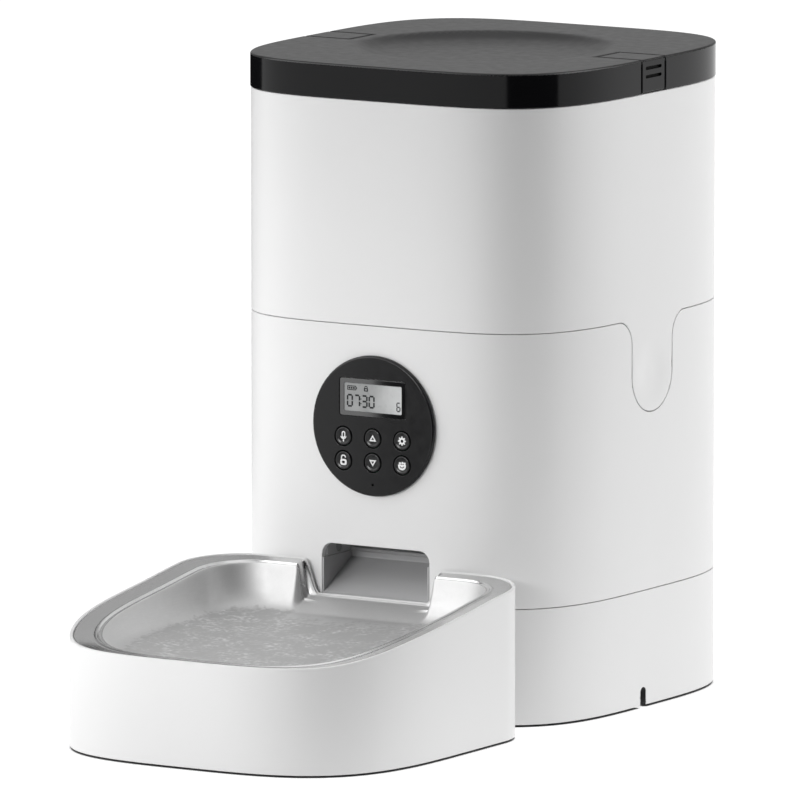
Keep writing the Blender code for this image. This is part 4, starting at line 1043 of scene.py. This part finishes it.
def rim_height(y):
    """Height of the tray's edge: a smooth climb from the front to the body, through RIM_HEIGHTS."""
    ys, zs = np.array(RIM_HEIGHTS).T
    inner = (zs[2:] - zs[:-2]) / (ys[2:] - ys[:-2])
    slopes = np.array([0, *inner, (zs[-1] - zs[-2]) / (ys[-1] - ys[-2])])
    y = np.clip(y, ys[0], ys[-1])
    i = np.clip(np.searchsorted(ys, y, side="right") - 1, 0, len(ys) - 2)
    h = ys[i + 1] - ys[i]
    t = (y - ys[i]) / h
    near = (2 * t**3 - 3 * t**2 + 1) * zs[i] + (t**3 - 2 * t**2 + t) * h * slopes[i]
    return near + (3 * t**2 - 2 * t**3) * zs[i + 1] + (t**3 - t**2) * h * slopes[i + 1]


def spout_share(x, y, flare):
    """1 over the low spout at the back of the tray, 0 away from it. Flare says where its sides rise."""
    return (1 - smooth_step(np.abs(x), *flare)) * smooth_step(y, -140, -112)


def rim_z(x, y):
    high = rim_height(y)
    return high + (SPOUT_LIP - high) * spout_share(x, y, SPOUT_FLARE)


def rim_ring(outline, drop):
    x, y = outline.T
    return np.column_stack([x, y, rim_z(x, y) - drop])


def tray():
    """The tray as one band of rings: up the outside, over the edge, down into the well and back below."""
    low = TRAY_LOW[2]
    well, hole = tray_outline(2.4, 1.6), tray_outline(12, 10)
    foot = ((0.35, 0), (0.08, 0.12), (0, 0.4), (0, 1.5))
    rings = [level_ring(tray_outline(inset), low + up) for inset, up in foot]
    for inset, drop in ((0, 2.0), (0, 0.62), (0.06, 0.36), (0.2, 0.14), (0.42, 0.02), (0.6, 0), (0.9, 0)):
        rings.append(rim_ring(tray_outline(inset), drop))
    for inset, back, drop in ((1.25, 0.9, 0.1), (1.45, 0.97, 0.34), (1.5, 1.0, 0.6), (1.5, 1.0, 2.3),
                              (6.0, 1.8, 2.8), (6.0, 1.8, 4.8)):
        rings.append(rim_ring(tray_outline(inset, back), drop))
    rings += [rim_ring(well, 9), level_ring(well, 4.2), level_ring(hole, 4.2), level_ring(hole, 3.3)]
    faces = ring_faces(len(rings), len(well), closed=True)
    obj = add_mesh("tray_wall", np.concatenate(rings), faces, "tray", WHITE, sharp=50)
    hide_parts("bowl_tray")


def bowl_floor(y):
    return BOWL_FLOOR_FRONT + BOWL_FLOOR_RISE * smooth_step(y, -250, -96)


def bowl_ring(inward):
    """The ring of the bowl's upper face that far inward from the edge of its opening."""
    x, y = tray_outline(RIM_WIDTH + inward, RIM_WIDTH_BACK + inward).T
    floor, rim = bowl_floor(y), rim_height(y) - RIM_DIP
    wall = floor + (rim - floor) * max(0.0, 1 - inward / BOWL_WALL) ** 3
    ramp = np.maximum(floor, SPOUT_LIP - 0.5 + SPOUT_SLOPE * (y - TRAY_BACK))
    turn_in = smooth_step(y, TRAY_BACK - RIM_WIDTH_BACK, TRAY_BACK - 1.3)
    flare = [notch + (wide - notch) * turn_in for notch, wide in zip(BOWL_NOTCH, SPOUT_FLARE)]
    return np.column_stack([x, y, wall + (ramp - wall) * spout_share(x, y, flare)])


# How far across the flange, and how high above it: a bead, then a narrow ledge up to the opening
FLANGE = (
    (0.02, -0.05), (0.05, 0), (0.1, 0), (0.15, 0), (0.2, 0), (0.4, 0), (0.6, 0), (0.66, 0), (0.69, 0.1),
    (0.715, 0.4), (0.74, 0.68), (0.765, 0.78), (0.79, 0.7), (0.82, 0.42), (0.85, 0.08), (0.88, -0.1),
    (0.91, -0.1), (0.94, 0.05), (0.965, 0.2), (0.985, 0.22),
)


def flange_ring(outer, opening, share):
    """A ring part of the way from the bowl's edge to its opening, soon turning to the notch's shape."""
    x, y, _ = (outer + (opening - outer) * share).T
    high = rim_height(y) - 0.5 - (RIM_DIP - 0.5) * share
    low = SPOUT_LIP - 0.5 + SPOUT_SLOPE * (y - TRAY_BACK) * min(1, share / 0.15)
    turn = float(smooth_step(share, 0.0, 0.2))
    flare = [wide + (notch - wide) * turn for notch, wide in zip(BOWL_NOTCH, SPOUT_FLARE)]
    return np.column_stack([x, y, high + (low - high) * spout_share(x, y, flare)])


def bowl():
    """The steel bowl as one band: over the flange, down the wall, across the floor and back underneath."""
    outer, opening = rim_ring(tray_outline(1.9, 1.3), 0.5), bowl_ring(0.0)
    away = 1 - spout_share(outer[:, 0], outer[:, 1], SPOUT_FLARE)
    rings = [outer - (0, 0, 0.25)]
    for share, rise in FLANGE:
        rings.append(flange_ring(outer, opening, share) + (0, 0, 1) * (rise * away)[:, None])
    floors, on_flange = [0.0] * len(rings), len(rings)
    for inward in (0.0, 0.3, 0.6, 1.0, 1.6, 2.4, 3.4, 4.6, 6.0, 7.6, 9.2, 10.6, 12.0):
        rings.append(bowl_ring(inward))
        floors.append(float(smooth_step(inward, 5, 11)))
    edge = tray_outline(RIM_WIDTH + 34, 52)
    middle = np.column_stack([edge, bowl_floor(edge[:, 1]) - FLOOR_DISH])
    last, centre = rings[-1], middle.mean(0)
    rings += [last + (middle - last) * share for share in (0.1, 0.3, 0.6, 0.85, 1.0)]
    for share in (0.3, 0.6, 0.9, 0.995):
        ring = middle + (centre - middle) * share
        ring[:, 2] = bowl_floor(ring[:, 1]) - FLOOR_DISH
        rings.append(ring)
    floors += [1.0] * (len(rings) - len(floors))
    rings += [ring - (0, 0, 1.0) for ring in reversed(rings)]
    count, points = len(outer), np.concatenate(rings)
    faces = ring_faces(len(rings), count, closed=True)
    obj = add_mesh("steel_bowl", points, faces, "bowl", BOWL_STEEL, sharp=70)
    spout = spout_share(points[:, 0], points[:, 1], SPOUT_FLARE)
    floor = np.repeat(floors + floors[::-1], count) * (1 - spout)
    flange = (np.arange(len(points)) < on_flange * count) * (1 - spout)
    for name, values in (("floor", floor), ("spout", spout), ("flange", flange)):
        obj.data.attributes.new(name, "FLOAT", "POINT").data.foreach_set("value", values)
    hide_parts("bowl")


tray()
bowl()


# ---------------------------------------------------------------- the other pieces, as the CAD made them

SLOT_LOOKS = {
    "white_plastic": WHITE, "inner_plastic": INNER, "black_plastic": PANEL_BLACK, "grey_plastic": GREY,
    "display_glass": GLASS_BLACK, "display_panel": INNER, "stainless_steel": STEEL, "rubber_black": RUBBER_AND_PAINTED_NOTCH_SHADE,
    "silicone": SILICONE, "gear_plastic": ACETAL, "brass": BRASS, "circuit_board": BOARD,
    "battery_cell": CELL,
}


def dress_cad_nodes():
    """Every CAD node that is still shown: soft edges, smooth rounds and the look of its slot."""
    slots = {piece["node"]: piece["material_slot"] for piece in frame["record"]["subparts"]}
    for name, obj in frame["nodes"].items():
        if obj.hide_render:
            continue
        obj.data.materials.clear()
        obj.data.materials.append(SMOKED if name.startswith("ir_") else SLOT_LOOKS[slots[name]])
        obj.data.shade_smooth()
        obj.data.set_sharp_from_angle(angle=math.radians(32))
        bevel(obj, 0.5 if name.startswith("chute") else 0.2)


dress_cad_nodes()


# ---------------------------------------------------------------- floor, light and camera


def stage_sheet(name, points, look):
    """A flat sheet of the studio, from its four corners in metres."""
    mesh = bpy.data.meshes.new(name)
    mesh.from_pydata(points, [], [(0, 1, 2, 3)])
    mesh.materials.append(look.material)
    sheet = bpy.data.objects.new(name, mesh)
    scene.collection.objects.link(sheet)
    return sheet


def add_floor():
    """Near-white paper that glows, so that it stays pale, with a painted contact shadow where something
    stands over it.
    """
    look = Look("white_paper")
    near = look.node("AmbientOcclusion", "AO", {"Distance": 0.009}, samples=8)
    look.shade("Base Color", grey(0.15))
    look.shade("Roughness", 0.95)
    look.shade("Specular IOR Level", 0.0)
    look.shade("Emission Color", grey(1.0))
    # The glow fades with ambient occlusion: a painted shadow under what stands on the floor.
    look.shade("Emission Strength", look.spread(near, 0, 1, 0.4, 0.54))
    stage_sheet("floor", [(-15, -15, 0), (15, -15, 0), (15, 15, 0), (-15, 15, 0)], look)


def area_light(name, azimuth, elevation, distance, size, power, height=0.15, spread=180):
    """A soft box that looks at the body. Azimuth 0 is in front, and 90 to the right."""
    data = bpy.data.lights.new(name, "AREA")
    data.shape = "RECTANGLE"
    data.size, data.size_y = size
    data.energy = power
    data.spread = math.radians(spread)
    lamp = bpy.data.objects.new(name, data)
    a, e = math.radians(azimuth), math.radians(elevation)
    place = Vector((math.sin(a) * math.cos(e), -math.cos(a) * math.cos(e), math.sin(e))) * distance
    aim = Vector((0, AXIS_Y * MM - 0.05, height))
    lamp.location = aim + place
    lamp.rotation_euler = (-place).to_track_quat("-Z", "Y").to_euler()
    lamp.visible_camera = False
    scene.collection.objects.link(lamp)


def black_card(name, azimuth, distance, centre, width, top, only_glossy):
    """A card that faces a centre point and darkens reflections, and bounced light too unless only_glossy.
    The camera doesn't see it."""
    a = math.radians(azimuth)
    away, across = np.array((math.sin(a), -math.cos(a))), np.array((math.cos(a), math.sin(a)))
    left, right = (np.array(centre) + away * distance + across * width * half for half in (-0.5, 0.5))
    look = Look(name)
    look.shade("Base Color", grey(0.004))
    look.shade("Specular IOR Level", 0.0)
    card = stage_sheet(name, [(*left, 0), (*right, 0), (*right, top), (*left, top)], look)
    card.visible_camera = False
    card.visible_shadow = False
    card.visible_diffuse = not only_glossy


# Glows of the studio: a direction, the cosines at which it starts and is full, and how strong it is
SKY = (((-0.5, 0.81, 0.3), 0.7, 1.0, 0.5), ((0, 0, 1), 0.74, 0.96, 1.2))


def add_world():
    """A dim room with the glows of SKY."""
    world_look = bpy.data.worlds.new("studio")
    scene.world = world_look
    world_look.use_nodes = True
    sky = Nodes(world_look.node_tree, "Generated")
    total = 0.07
    for direction, low, high, strength in SKY:
        towards = sky.node("VectorMath", "Value", {0: sky.place, 1: direction}, operation="DOT_PRODUCT")
        total = sky.sum(sky.spread(towards, 0.0, strength, low, high), total)
    sky.fill(sky.tree.nodes["Background"], {"Color": grey(1.0), "Strength": total})


def add_camera():
    """A long lens from above the right front."""
    data = bpy.data.cameras.new("camera")
    data.sensor_width = 36
    data.lens = 633.45
    data.clip_end = 200
    camera = bpy.data.objects.new("camera", data)
    camera.location = (3.4434, -5.6076, 1.1024)
    camera.rotation_euler = (math.radians(81.765), 0, math.radians(31.512))
    scene.collection.objects.link(camera)
    scene.camera = camera


add_floor()
add_world()
area_light("front_left", -53, 27, 2.6, (2.4, 2.4), 42.5)
area_light("rear_right", 118, 27, 2.6, (2.2, 2.0), 43)
area_light("low_front", -12, 16, 0.9, (0.3, 0.2), 0.12, height=0.08, spread=34)
MIDDLE = (0, AXIS_Y * MM)
TRAY_TURN = (TRAY_HALF * MM - 0.02, TRAY_LOW[1] * MM + 0.02)
WINDOW = (0.026, (AXIS_Y + PANEL_FACE) * MM - 0.016)
black_card("corner_card", 57, 0.45, MIDDLE, 0.5, 0.3, only_glossy=False)
black_card("tray_card", 45, 0.13, TRAY_TURN, 0.16, 0.2, only_glossy=False)
black_card("left_card", -120, 0.7, MIDDLE, 1.1, 0.34, only_glossy=True)
black_card("window_card", -31.5, 0.45, WINDOW, 0.06, 0.16, only_glossy=True)
add_camera()
scene.view_settings.view_transform = "Standard"
